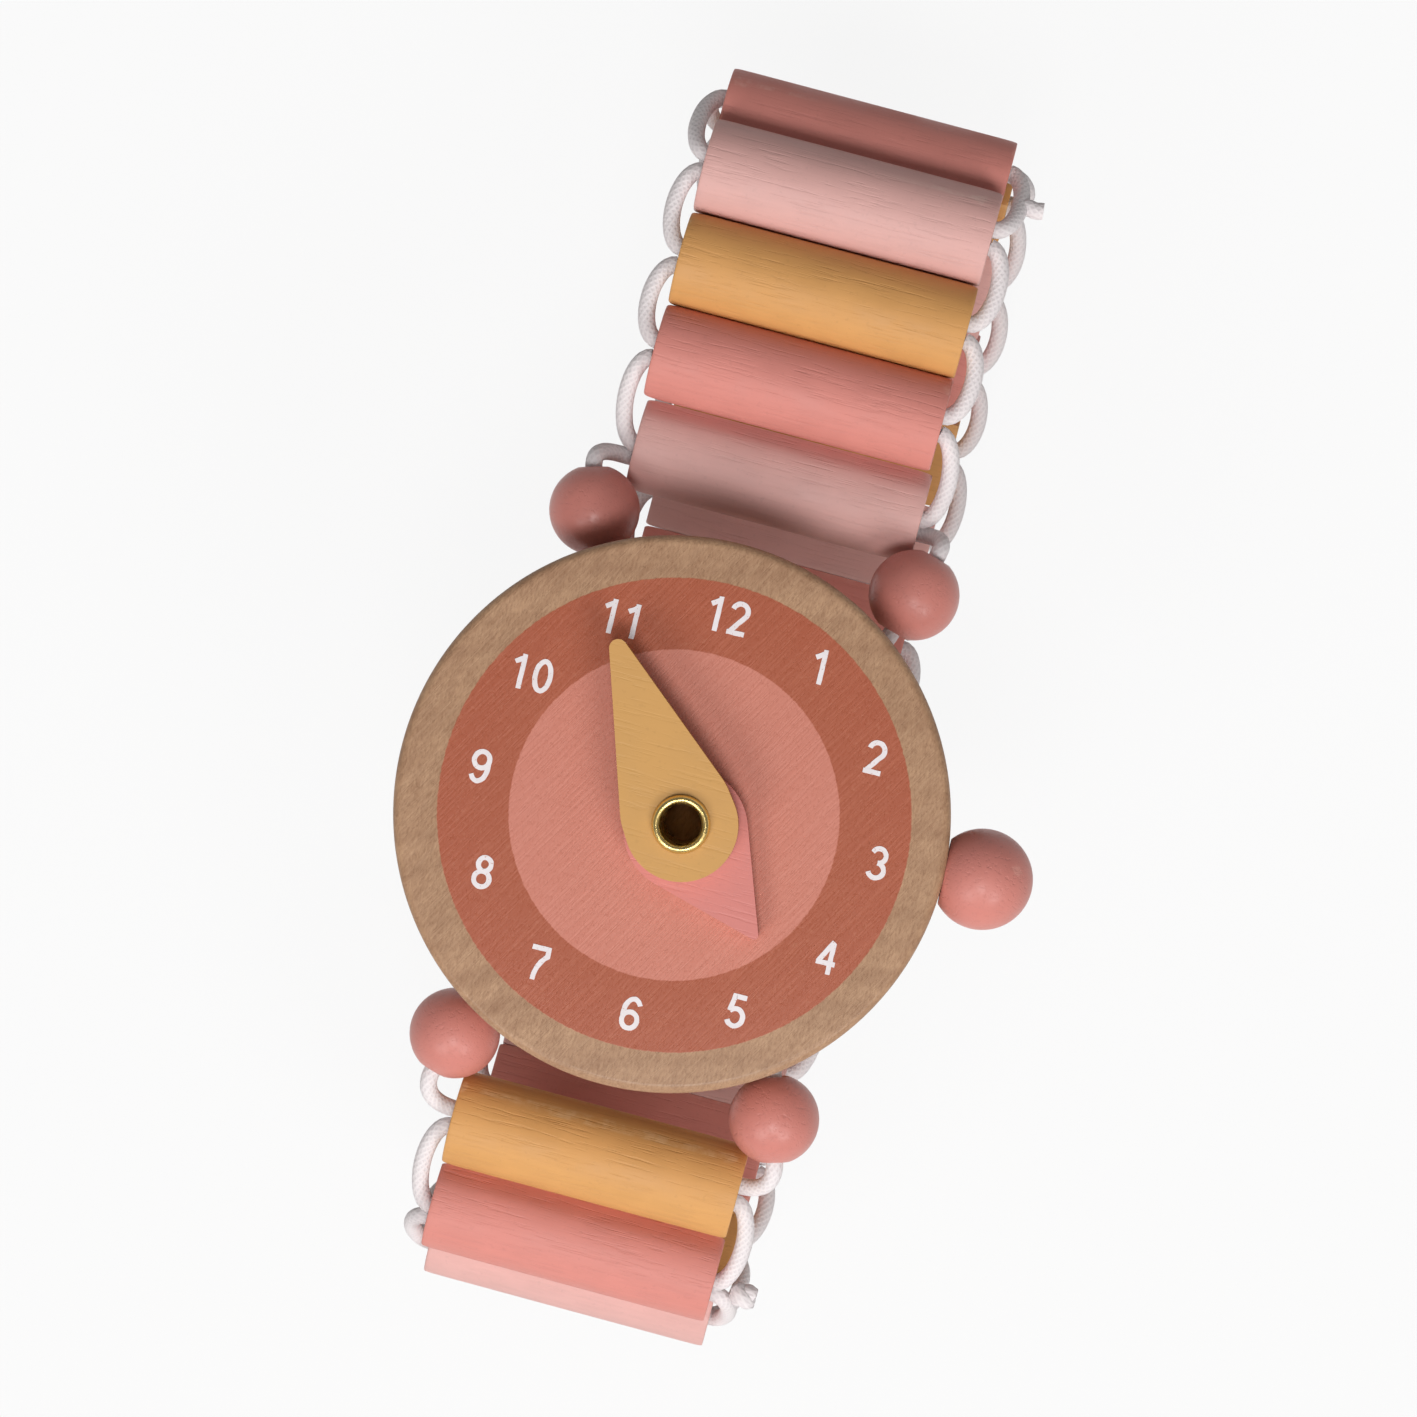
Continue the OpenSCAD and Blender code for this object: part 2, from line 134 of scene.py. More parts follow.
def ranged(tree, value, low, high, to_low=0.0, to_high=1.0):
    values = {0: value, 1: low, 2: high, 3: to_low, 4: to_high}
    return add(tree, "ShaderNodeMapRange", values, interpolation_type="SMOOTHSTEP").outputs[0]


def new_group(name, kind, inputs, outputs):
    tree = bpy.data.node_groups.new(name, kind)
    for label, kind_of_socket, value in inputs:
        socket = tree.interface.new_socket(label, in_out="INPUT", socket_type=kind_of_socket)
        if value is not None:
            socket.default_value = value
    for label, kind_of_socket in outputs:
        tree.interface.new_socket(label, in_out="OUTPUT", socket_type=kind_of_socket)
    return tree, add(tree, "NodeGroupInput").outputs, add(tree, "NodeGroupOutput")


def srgb(red, green, blue):
    def linear(value):
        value /= 255
        return value / 12.92 if value <= 0.04045 else ((value + 0.055) / 1.055) ** 2.4
    return (linear(red), linear(green), linear(blue), 1.0)


print("helpers for node trees are ready")

# %% [markdown]
# ## Effects that several finishes share
# Real wood shows long fibres, and its paint is a little uneven and wears thin along edges. Each
# effect is one node group with named inputs, so that every finish can use it with its own
# values. A group only puts out masks and heights, and the shader itself stays in the material.

# %% The grain of the wood
FLOAT, VECTOR = "NodeSocketFloat", "NodeSocketVector"
GEOMETRY, MATERIAL = "NodeSocketGeometry", "NodeSocketMaterial"
FINE_SHARE, BROAD_SHARE, BROAD_SCALE = 0.55, 0.45, 0.22


def noise_of(tree, coordinates, scale, detail=4.0, roughness=0.6, distortion=0.0):
    values = {"Vector": coordinates, "Scale": scale, "Detail": detail, "Roughness": roughness}
    values["Distortion"] = distortion
    return add(tree, "ShaderNodeTexNoise", values).outputs[0]


def make_grain_group():
    inputs = [("Fibre Stretch", VECTOR, (0.05, 1.0, 1.0)), ("Fibres Per Metre", FLOAT, 1800.0)]
    tree, given, out = new_group(
        "wood_grain", "ShaderNodeTree", inputs, [("Shade", FLOAT), ("Height", FLOAT)])
    place = object_place(tree)
    stretched = vector_sum(tree, "MULTIPLY", place, given["Fibre Stretch"])
    fine = noise_of(tree, stretched, given["Fibres Per Metre"], 3.0, 0.65)
    broad_scale = times(tree, given["Fibres Per Metre"], BROAD_SCALE)
    broad = noise_of(tree, stretched, broad_scale, 3.0, 0.55, 0.4)
    shade = calc(tree, "ADD", times(tree, fine, FINE_SHARE), times(tree, broad, BROAD_SHARE))
    feed(out, "Shade", ranged(tree, shade, 0.3, 0.7))
    feed(out, "Height", ranged(tree, fine, 0.25, 0.5))
    return tree


grain_group = make_grain_group()
print("made", grain_group.name)


# %% Uneven paint, and paint worn thin along edges
def make_paint_group():
    inputs = [("Blotches Per Metre", FLOAT, 260.0), ("Specks Per Metre", FLOAT, 2600.0)]
    tree, given, out = new_group(
        "uneven_paint", "ShaderNodeTree", inputs, [("Blotch", FLOAT), ("Speck", FLOAT)])
    place = object_place(tree)
    blotch = noise_of(tree, place, given["Blotches Per Metre"], 5.0, 0.6)
    feed(out, "Blotch", ranged(tree, blotch, 0.32, 0.68))
    speck = noise_of(tree, place, given["Specks Per Metre"], 2.0, 0.5)
    feed(out, "Speck", ranged(tree, speck, 0.62, 0.72))
    return tree


def make_wear_group():
    inputs = [("Sharpness From", FLOAT, 0.52), ("Sharpness To", FLOAT, 0.6),
              ("Breaks Per Metre", FLOAT, 900.0)]
    tree, given, out = new_group("edge_wear", "ShaderNodeTree", inputs, [("Wear", FLOAT)])
    sharp = add(tree, "ShaderNodeNewGeometry").outputs["Pointiness"]
    edge = ranged(tree, sharp, given["Sharpness From"], given["Sharpness To"])
    place = object_place(tree)
    broken = ranged(tree, noise_of(tree, place, given["Breaks Per Metre"], 4.0, 0.7), 0.35, 0.65)
    feed(out, "Wear", times(tree, edge, broken))
    return tree


paint_group, wear_group = make_paint_group(), make_wear_group()
print("made", paint_group.name, "and", wear_group.name)

# %% [markdown]
# ## Finishes
# A finish is one material. It starts from a Principled shader, takes its masks from the groups
# and mixes colours with them. Numbers that are the same all over go straight on the shader.

# %% Start a material
LENGTHWAYS = (0.07, 1.0, 1.0)
COAT_ROUGHNESS, SPECULAR_LEVEL = 0.25, 0.32


def new_material(name, roughness, coat=0.0):
    material = bpy.data.materials.new(name)
    material.use_nodes = True
    tree = material.node_tree
    shader = tree.nodes["Principled BSDF"]
    shader.inputs["Roughness"].default_value = roughness
    shader.inputs["Coat Weight"].default_value = coat
    shader.inputs["Coat Roughness"].default_value = COAT_ROUGHNESS
    shader.inputs["Specular IOR Level"].default_value = SPECULAR_LEVEL
    return material, tree, shader


def use_group(tree, group, values=None):
    return add(tree, "ShaderNodeGroup", values, node_tree=group).outputs


def raise_surface(tree, shader, height, distance, strength=0.5):
    values = {"Height": height, "Distance": distance, "Strength": strength}
    bump = add(tree, "ShaderNodeBump", values)
    feed(shader, "Normal", bump.outputs["Normal"])


print("finishes can start")


# %% Painted wood. A piece with a flat front shows wear only where its faces lean away
PAINTED_FIBRES, GRAIN_DEPTH = 3600.0, 0.06 * MM
DARKER, LIGHTER, ROUGHNESS_SPREAD = 0.80, 1.10, 0.07
BLOTCH_SHARE, SPECK_SHARE, WEAR_SHARE = 0.45, 0.25, 0.55
LEANING, LEVEL = 0.90, 0.995


def painted_wood(name, paint, thin, roughness, grain_share=0.28, coat=0.0, stretch=LENGTHWAYS,
                 bump=0.5, flat_front=False):
    material, tree, shader = new_material(name, roughness, coat)
    values = {"Fibre Stretch": stretch, "Fibres Per Metre": PAINTED_FIBRES}
    grain = use_group(tree, grain_group, values)
    uneven = use_group(tree, paint_group)
    wear = use_group(tree, wear_group)["Wear"]
    if flat_front:
        normal = add(tree, "ShaderNodeNewGeometry").outputs["Normal"]
        up = apart(tree, normal)["Z"]
        wear = times(tree, wear, ranged(tree, up, LEANING, LEVEL, 1.0, 0.0))
    dark = tuple(DARKER * c for c in paint[:3]) + (1.0,)
    light = tuple(min(1.0, LIGHTER * c) for c in paint[:3]) + (1.0,)
    fibres = times(tree, calc(tree, "SUBTRACT", 1.0, grain["Shade"]), grain_share)
    colour = mixed(tree, fibres, paint, dark)
    colour = mixed(tree, times(tree, uneven["Blotch"], BLOTCH_SHARE), colour, light)
    colour = mixed(tree, times(tree, uneven["Speck"], SPECK_SHARE), colour, dark)
    colour = mixed(tree, times(tree, wear, WEAR_SHARE), colour, thin)
    feed(shader, "Base Color", colour)
    low, high = roughness - ROUGHNESS_SPREAD, roughness + ROUGHNESS_SPREAD
    feed(shader, "Roughness", ranged(tree, uneven["Blotch"], 0.0, 1.0, low, high))
    raise_surface(tree, shader, grain["Height"], GRAIN_DEPTH, bump)
    return material


paints = {
    "pale_pink_wood": painted_wood(
        "pale_pink_paint", srgb(221, 172, 165), srgb(233, 201, 190), 0.55),
    "salmon_wood": painted_wood(
        "salmon_paint", srgb(216, 138, 127), srgb(232, 178, 162), 0.55),
    "yellow_wood": painted_wood(
        "ochre_yellow_paint", srgb(215, 158, 95), srgb(231, 192, 142), 0.55),
    "bead_wood": painted_wood(
        "satin_rose_paint", srgb(205, 129, 118), srgb(224, 166, 151), 0.42,
        grain_share=0.12, coat=0.15, stretch=(1.0, 1.0, 0.2)),
    "pink_hand": painted_wood(
        "hour_hand_paint", srgb(213, 131, 123), srgb(226, 164, 150), 0.5,
        grain_share=0.2, bump=0.35, flat_front=True),
    "yellow_hand": painted_wood(
        "minute_hand_paint", srgb(206, 156, 91), srgb(228, 186, 140), 0.5,
        grain_share=0.14, bump=0.25, flat_front=True),
}
print("painted finishes:", ", ".join(sorted(paints)))

# %% [markdown]
# ## The printed dial
# The disc is bare wood with a terracotta ring and a pink middle printed on its front. Both are
# circles about one centre, so their masks come from the distance to that centre. The print lies
# a little to the right of the disc's middle, as prints do. The same material shows bare wood at
# the rim and the side, with faint growth rings and the slanting marks of sanding.

# %% Bare wood with growth rings and sanding marks
PRINT_CENTRE = (0.20 * MM, 0.0)
PINK_RADIUS = 12.0 * MM
RING_RADIUS = 17.2 * MM
DIAL_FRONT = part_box("dial_disc")[1].z
HEART_OF_THE_TREE = (25 * MM, -90 * MM, 0.0)
RING_WOBBLE, RINGS_PER_METRE, FLECKS_PER_METRE = 2.2 * MM, 420.0, 6800.0
RING_SHARE, FLECK_SHARE, SANDING_SHARE = 0.50, 0.66, 0.16
SANDING_TURN, SCRATCHES_PER_METRE, SCRATCH_DEPTH = math.radians(60), 6200.0, 0.6
SANDED = srgb(206, 170, 138)


def sanding_marks(tree, place):
    values = {0: place, 2: (0.0, 0.0, SANDING_TURN), 3: (22.0, 1.0, 1.0)}
    along = add(tree, "ShaderNodeMapping", values, vector_type="TEXTURE").outputs[0]
    return ranged(tree, noise_of(tree, along, SCRATCHES_PER_METRE, 2.0, 0.7), 0.40, 0.68)


def bare_wood_colour(tree, place, light, dark):
    reach = vector_sum(tree, "DISTANCE", place, HEART_OF_THE_TREE, output="Value")
    wobble = times(tree, noise_of(tree, place, 55.0, 2.0), RING_WOBBLE)
    years = together(tree, calc(tree, "ADD", reach, wobble))
    bands = ranged(tree, noise_of(tree, years, RINGS_PER_METRE, 3.0, 0.6), 0.35, 0.68)
    values = {"Fibre Stretch": (1.0, 0.3, 1.0), "Fibres Per Metre": FLECKS_PER_METRE}
    flecks = use_group(tree, grain_group, values)
    marks = sanding_marks(tree, place)
    colour = mixed(tree, times(tree, bands, RING_SHARE), light, dark)
    dents = times(tree, calc(tree, "SUBTRACT", 1.0, flecks["Shade"]), FLECK_SHARE)
    colour = mixed(tree, dents, colour, dark)
    colour = mixed(tree, times(tree, marks, SANDING_SHARE), colour, SANDED)
    height = calc(tree, "SUBTRACT", flecks["Height"], times(tree, marks, SCRATCH_DEPTH))
    return colour, height


def bare_wood(name, light, dark, roughness):
    material, tree, shader = new_material(name, roughness)
    colour, height = bare_wood_colour(tree, object_place(tree), light, dark)
    feed(shader, "Base Color", colour)
    raise_surface(tree, shader, height, 0.07 * MM)
    return material


block_wood = bare_wood("block_wood", srgb(184, 144, 110), srgb(140, 98, 68), 0.62)
print("made", block_wood.name)


# %% The print on the disc
PRINT_SOFTNESS, PRINT_RAGGED, PRINT_DEPTH = 0.05 * MM, 0.18 * MM, 0.06 * MM
FRONT_SKIN = 0.04 * MM
THROUGH_SHARE, INK_HEIGHT = 0.4, 0.25


def printed_dial():
    material, tree, shader = new_material("printed_dial", 0.5, 0.2)
    place = object_place(tree)
    wood, height = bare_wood_colour(tree, place, srgb(192, 152, 118), srgb(142, 102, 74))
    centred = vector_sum(tree, "SUBTRACT", place, (*PRINT_CENTRE, 0.0))
    flat = vector_sum(tree, "MULTIPLY", centred, (1.0, 1.0, 0.0))
    reach = vector_sum(tree, "LENGTH", flat, output="Value")
    uneven_edge = calc(tree, "SUBTRACT", noise_of(tree, place, 2400.0, 3.0), 0.5)
    reach = calc(tree, "ADD", reach, times(tree, uneven_edge, PRINT_RAGGED))
    front = calc(tree, "GREATER_THAN", apart(tree, place)["Z"], DIAL_FRONT - FRONT_SKIN)

    def inside(radius):
        within = ranged(tree, reach, radius + PRINT_SOFTNESS, radius - PRINT_SOFTNESS)
        return times(tree, front, within)

    in_ring, in_middle = inside(RING_RADIUS), inside(PINK_RADIUS)
    uneven = use_group(tree, paint_group, {"Blotches Per Metre": 180.0})
    through = times(tree, sanding_marks(tree, place), THROUGH_SHARE)
    ring = mixed(tree, through, srgb(170, 88, 60), srgb(186, 106, 78))
    ring = mixed(tree, times(tree, uneven["Speck"], 0.25), ring, srgb(192, 120, 92))
    middle = mixed(tree, through, srgb(203, 125, 106), srgb(214, 139, 121))
    middle = mixed(tree, times(tree, uneven["Blotch"], 0.3), middle, srgb(210, 134, 116))
    colour = mixed(tree, in_ring, wood, ring)
    colour = mixed(tree, in_middle, colour, middle)
    feed(shader, "Base Color", colour)
    feed(shader, "Roughness", ranged(tree, in_ring, 0.0, 1.0, 0.6, 0.46))
    raised = calc(tree, "ADD", height, times(tree, in_ring, INK_HEIGHT))
    raise_surface(tree, shader, raised, PRINT_DEPTH, 0.45)
    return material


dial_material = printed_dial()
print("made", dial_material.name)


# %% Numeral ink and brass
def numeral_ink():
    material, tree, shader = new_material("numeral_ink", 0.5)
    values = {"Blotches Per Metre": 900.0, "Specks Per Metre": 5200.0}
    uneven = use_group(tree, paint_group, values)
    thick, thin = srgb(238, 231, 233), srgb(218, 205, 204)
    colour = mixed(tree, times(tree, uneven["Blotch"], 0.3), thick, thin)
    colour = mixed(tree, times(tree, uneven["Speck"], 0.6), colour, srgb(196, 140, 120))
    feed(shader, "Base Color", colour)
    raise_surface(tree, shader, uneven["Blotch"], 0.02 * MM, 0.4)
    return material


def rolled_brass():
    material, tree, shader = new_material("rolled_brass", 0.24)
    shader.inputs["Metallic"].default_value = 1.0
    place = object_place(tree)
    around = vector_sum(tree, "MULTIPLY", place, (1.0, 1.0, 0.15))
    tarnish = ranged(tree, noise_of(tree, place, 900.0, 5.0, 0.6), 0.4, 0.7)
    scratches = ranged(tree, noise_of(tree, around, 6500.0, 3.0, 0.7), 0.45, 0.6)
    wear = use_group(tree, wear_group)["Wear"]
    bright, dull = srgb(236, 208, 138), srgb(196, 160, 92)
    colour = mixed(tree, times(tree, tarnish, 0.4), bright, dull)
    colour = mixed(tree, times(tree, wear, 0.4), colour, srgb(244, 226, 180))
    feed(shader, "Base Color", colour)
    feed(shader, "Roughness", ranged(tree, tarnish, 0.0, 1.0, 0.26, 0.40))
    raise_surface(tree, shader, scratches, 0.01 * MM, 0.3)
    return material


ink_material, brass_material = numeral_ink(), rolled_brass()
print("made", ink_material.name, "and", brass_material.name)


# %% [markdown]
# ## Round elastic
# Round elastic has a braided cover: threads run round it to the left and to the right and cross
# over. The tube gets an attribute called strand_space, which holds the cosine and sine of the
# angle round the tube and the length along it. The braid is two families of slanting waves in
# that space, and it closes on itself without a seam because the number of threads is whole.

# %% The braided cover
THREADS_ROUND = 8
THREAD_PITCH = 0.55 * MM


def make_braid_group():
    inputs = [("Threads Round", FLOAT, float(THREADS_ROUND)), ("Pitch", FLOAT, THREAD_PITCH)]
    tree, given, out = new_group(
        "braid", "ShaderNodeTree", inputs, [("Thread", FLOAT), ("Over", FLOAT)])
    space = add(tree, "ShaderNodeAttribute", attribute_name="strand_space").outputs["Vector"]
    parts = apart(tree, space)
    turned_by = calc(tree, "ARCTAN2", parts["Y"], parts["X"])
    angle = times(tree, turned_by, given["Threads Round"])
    along = calc(tree, "DIVIDE", times(tree, parts["Z"], 2 * math.pi), given["Pitch"])
    right = calc(tree, "SINE", calc(tree, "ADD", angle, along))
    left = calc(tree, "SINE", calc(tree, "SUBTRACT", angle, along))
    over = ranged(tree, calc(tree, "SUBTRACT", right, left), -0.5, 0.5)
    feed(out, "Thread", calc(tree, "MAXIMUM", right, left))
    feed(out, "Over", over)
    return tree


def elastic_material():
    material, tree, shader = new_material("braided_elastic", 0.8)
    shader.inputs["Sheen Weight"].default_value = 0.25
    braid = use_group(tree, make_braid_group())
    uneven = use_group(tree, paint_group, {"Blotches Per Metre": 600.0})
    # Painted shade: where the threads dip, the colour darkens towards a grey, standing in for the
    # shade in the grooves of the braid.
    groove_shade = ranged(tree, braid["Thread"], -0.2, 0.7, 1.0, 0.0)
    right, left = srgb(236, 228, 228), srgb(226, 216, 218)
    colour = mixed(tree, times(tree, braid["Over"], 0.4), right, left)
    colour = mixed(tree, times(tree, groove_shade, 0.28), colour, srgb(196, 184, 187))
    colour = mixed(tree, times(tree, uneven["Blotch"], 0.2), colour, srgb(242, 236, 234))
    feed(shader, "Base Color", colour)
    raise_surface(tree, shader, braid["Thread"], 0.03 * MM)
    return material


elastic = elastic_material()
print("made", elastic.name)

# %% [markdown]
# ## Turned parts
# The disc, the crown, the beads and the eyelet are all turned or rolled round an axis. Each is
# an outline of radius and height, spun into rings of points that are joined into quads. The
# outline is a closed loop, so a hole through the piece is part of the same clean mesh.

# %% Spin an outline
def arc(centre_r, centre_h, radius_r, radius_h, start, stop, steps=22):
    angles = [math.radians(start + (stop - start) * i / steps) for i in range(steps + 1)]
    return [(centre_r + radius_r * math.cos(a), centre_h + radius_h * math.sin(a)) for a in angles]


def new_object(name, data):
    made = bpy.data.objects.new(name, data)
    bpy.context.scene.collection.objects.link(made)
    return made


def mesh_piece(name, points, faces, material):
    mesh = bpy.data.meshes.new(name)
    mesh.from_pydata(points, [], faces)
    mesh.materials.append(material)
    return new_object(name, mesh)


def tidy_mesh(piece, sharp_angle=35.0):
    shell = bmesh.new()
    shell.from_mesh(piece.data)
    bmesh.ops.remove_doubles(shell, verts=shell.verts, dist=0.002 * MM)
    bmesh.ops.recalc_face_normals(shell, faces=shell.faces)
    shell.to_mesh(piece.data)
    shell.free()
    for face in piece.data.polygons:
        face.use_smooth = True
    piece.data.set_sharp_from_angle(angle=math.radians(sharp_angle))


def turned(name, outline, steps, place, material):
    count = len(outline)
    points = []
    for i in range(steps):
        angle = 2 * math.pi * i / steps
        for radius, height in outline:
            spun = Vector((radius * math.cos(angle), radius * math.sin(angle), height)) * MM
            points.append(place @ spun)
    faces = []
    for i in range(steps):
        for j in range(count):
            a, b = i * count + j, i * count + (j + 1) % count
            c, d = (i + 1) % steps * count + (j + 1) % count, (i + 1) % steps * count + j
            faces.append((a, b, c, d))
    piece = mesh_piece(name, points, faces, material)
    tidy_mesh(piece)
    return piece


def stands_for(piece, body, slot, *nodes):
    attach(piece, body)
    if nodes:
        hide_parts(*nodes)
    print(piece.name, "rides on", body, "with", len(piece.data.polygons), "faces")
    return piece


# %% The dial disc
def in_mm(node):
    low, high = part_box(node)
    return low / MM, high / MM


disc_low, disc_high = in_mm("dial_disc")
DISC_RADIUS = disc_high.x
RECESS_DEPTH = 1.0
BARREL_RADIUS, RECESS_RADIUS, RECESS_TOP = 1.7, 2.6, disc_low.z + RECESS_DEPTH
FRONT_ROUND, BACK_ROUND, HOLE_EASE = 0.7, 0.4, 0.12

disc_outline = (
    [(BARREL_RADIUS, RECESS_TOP), (BARREL_RADIUS, disc_high.z - HOLE_EASE)]
    + [(BARREL_RADIUS + HOLE_EASE, disc_high.z), (6.0, disc_high.z), (12.0, disc_high.z)]
    + arc(DISC_RADIUS - FRONT_ROUND, disc_high.z - FRONT_ROUND, FRONT_ROUND, FRONT_ROUND, 90, 0, 10)
    + [(DISC_RADIUS, (disc_low.z + disc_high.z) / 2)]
    + arc(DISC_RADIUS - BACK_ROUND, disc_low.z + BACK_ROUND, BACK_ROUND, BACK_ROUND, 0, -90, 6)
    + [(10.0, disc_low.z), (RECESS_RADIUS, disc_low.z), (RECESS_RADIUS, RECESS_TOP)]
)
disc = turned("dial_face", disc_outline, 240, Matrix.Identity(4), dial_material)
eyelet_low, eyelet_high = in_mm("eyelet")
HOLE = Vector(((eyelet_low.x + eyelet_high.x) / 2, (eyelet_low.y + eyelet_high.y) / 2, 0))
for vertex in disc.data.vertices:
    if vertex.co.xy.length < (RECESS_RADIUS + 0.1) * MM:
        vertex.co += HOLE * MM
stands_for(disc, "head", "bare_wood", "dial_disc")

# %% The eyelet, with its rolled rims
EYELET_IN, EYELET_WALL = 1.45, 0.25
FRONT_REACH, BACK_REACH, ROLL_HEIGHT = (EYELET_WALL + 0.42) / 2, (EYELET_WALL + 0.6) / 2, 0.55
eyelet_top = eyelet_high.z
eyelet_outline = (
    arc(EYELET_IN + FRONT_REACH, eyelet_top - ROLL_HEIGHT, FRONT_REACH, ROLL_HEIGHT, 0, 180, 18)
    + arc(EYELET_IN + BACK_REACH, RECESS_TOP, BACK_REACH, ROLL_HEIGHT, 180, 360, 14)
    + [(EYELET_IN + EYELET_WALL, RECESS_TOP), (EYELET_IN + EYELET_WALL, eyelet_top - ROLL_HEIGHT)]
)
rim = turned("brass_eyelet", eyelet_outline, 96, Matrix.Translation(HOLE * MM), brass_material)
stands_for(rim, "head", "brass", "eyelet")

# %% The crown and the four corner beads
CROWN_RADIUS, CROWN_FLAT = 3.7, 2.8
BEAD_RADIUS, BEAD_LENGTH, BEAD_BORE, BEAD_FLARE, BEAD_LEAN = 3.35, 6.3, 0.7, 0.35, 16.0


def ball_arc(radius, low, high, steps=34):
    start, stop = (math.degrees(math.asin(height / radius)) for height in (low, high))
    return arc(0, 0, radius, radius, start, stop, steps)


CROWN_TURN = math.radians(3)
crown_top = in_mm("crown_ball")[1].z
crown_middle = Vector((DISC_RADIUS + CROWN_FLAT, 0, crown_top - CROWN_RADIUS))
crown_outline = [(0, -CROWN_FLAT)] + ball_arc(CROWN_RADIUS, -CROWN_FLAT, CROWN_RADIUS)
crown_place = (Matrix.Rotation(CROWN_TURN, 4, "Z") @ Matrix.Translation(crown_middle * MM)
               @ Matrix.Rotation(math.radians(90), 4, "Y"))
crown = turned("crown", crown_outline, 72, crown_place, paints["bead_wood"])
stands_for(crown, "head", "bead_wood", "crown_ball")

half_bead = BEAD_LENGTH / 2
bead_outline = (
    [(BEAD_BORE, half_bead - BEAD_FLARE), (BEAD_BORE, BEAD_FLARE - half_bead)]
    + [(BEAD_BORE + BEAD_FLARE, -half_bead)] + ball_arc(BEAD_RADIUS, -half_bead, half_bead)
    + [(BEAD_BORE + BEAD_FLARE, half_bead)]
)
for upright, side_y in (("upper", 1), ("lower", -1)):
    for across, side_x in (("left", -1), ("right", 1)):
        node = f"bead_{upright}_{across}"
        low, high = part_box(node)
        lean = Matrix.Rotation(math.radians(-side_x * side_y * BEAD_LEAN), 4, "Z")
        lying = Matrix.Rotation(math.radians(-90), 4, "X")
        place = Matrix.Translation((low + high) / 2) @ lean @ lying
        bead = turned(f"corner_{node}", bead_outline, 64, place, paints["bead_wood"])
        stands_for(bead, node, "bead_wood", node)

# %% [markdown]
# ## Hands and block
# The hands and the block are sawn from flat wood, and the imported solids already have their
# outlines. A copy of each solid is merged, and a Bevel modifier eases its edges, as sanding
# does. The modifier's result becomes a plain mesh before the piece is given to its body.

# %% Ease the edges of a copied solid
BEVEL_SEGMENTS, BEVEL_FROM = 3, math.radians(40)


def plain_mesh(piece):
    view = bpy.context.evaluated_depsgraph_get()
    result = bpy.data.meshes.new_from_object(piece.evaluated_get(view), depsgraph=view)
    piece.modifiers.clear()
    piece.data = result


def eased_copy(node, name, width, material):
    piece = new_object(name, frame["nodes"][node].data.copy())
    tidy_mesh(piece)
    piece.data.materials.clear()
    piece.data.materials.append(material)
    bevel = piece.modifiers.new("eased", "BEVEL")
    bevel.width, bevel.segments = width * MM, BEVEL_SEGMENTS
    bevel.limit_method, bevel.angle_limit = "ANGLE", BEVEL_FROM
    bevel.use_clamp_overlap = True
    plain_mesh(piece)
    tidy_mesh(piece, 50.0)
    for face in piece.data.polygons:
        face.use_smooth = abs(face.normal.z) < 0.999
    return piece


for node, name, width, slot in (
    ("hour_hand", "pink_hour_hand", 0.16, "pink_hand"),
    ("minute_hand", "yellow_minute_hand", 0.16, "yellow_hand"),
):
    stands_for(eased_copy(node, name, width, paints[slot]), node, slot, node)
block = eased_copy("base_block", "strap_block", 0.25, block_wood)
stands_for(block, "head", "bare_wood", "base_block")
peg = frame["nodes"]["crown_peg"]
peg.data.materials.clear()
peg.data.materials.append(block_wood)

# %% [markdown]
# ## Numerals
# The twelve plain numerals are printed upright, round the middle of the print. Each digit is a
# few strokes of one width, so it is written as the middle lines of its strokes, in a cell that
# is one high. A ribbon follows each line, 0.02 mm proud of the disc, as thick ink does, and a
# little noise gives its edge the roughness of a pad print. The noise has a fixed seed, since
# Blender takes one from the clock otherwise. All twelve numerals are one piece.

# %% Write the digits as strokes
STROKE_WIDTH = 0.142
DIGIT_STEP = 0.67
LINE_STEPS = 7


def line(*corners):
    points = [corners[0]]
    for a, b in zip(corners, corners[1:]):
        for i in range(1, LINE_STEPS + 1):
            points.append((a[0] + (b[0] - a[0]) * i / LINE_STEPS,
                           a[1] + (b[1] - a[1]) * i / LINE_STEPS))
    return points


six = [arc(0.30, 0.31, 0.22, 0.235, 0, 360), arc(0.325, 0.5, 0.245, 0.425, 192, 38)]
DIGITS = {
    "0": [arc(0.30, 0.5, 0.215, 0.425, 0, 360, 30)],
    "1": [line((0.12, 0.74), (0.36, 0.90)), line((0.36, 1.0), (0.36, 0.0))],
    "2": [arc(0.30, 0.70, 0.215, 0.225, 170, -32) + line((0.45, 0.55), (0.10, 0.07))[1:],
          line((0.03, 0.08), (0.54, 0.08))],
    "3": [arc(0.28, 0.715, 0.20, 0.205, 160, -90), arc(0.28, 0.295, 0.22, 0.215, 90, -160)],
    "4": [line((0.42, 0.0), (0.42, 0.90)), line((0.42, 0.95), (0.07, 0.31)),
          line((0.02, 0.31), (0.57, 0.31))],
    "5": [line((0.51, 0.92), (0.17, 0.92), (0.11, 0.49)), arc(0.29, 0.325, 0.225, 0.25, 142, -155)],
    "6": six,
    "7": [line((0.05, 0.92), (0.53, 0.92)) + arc(0.90, 0.0, 0.66, 0.86, 124, 180)],
    "8": [arc(0.30, 0.725, 0.185, 0.195, 0, 360), arc(0.30, 0.30, 0.22, 0.225, 0, 360)],
    "9": [[(0.6 - x, 1.0 - y) for x, y in stroke] for stroke in six],
}
print("digits:", " ".join(DIGITS))


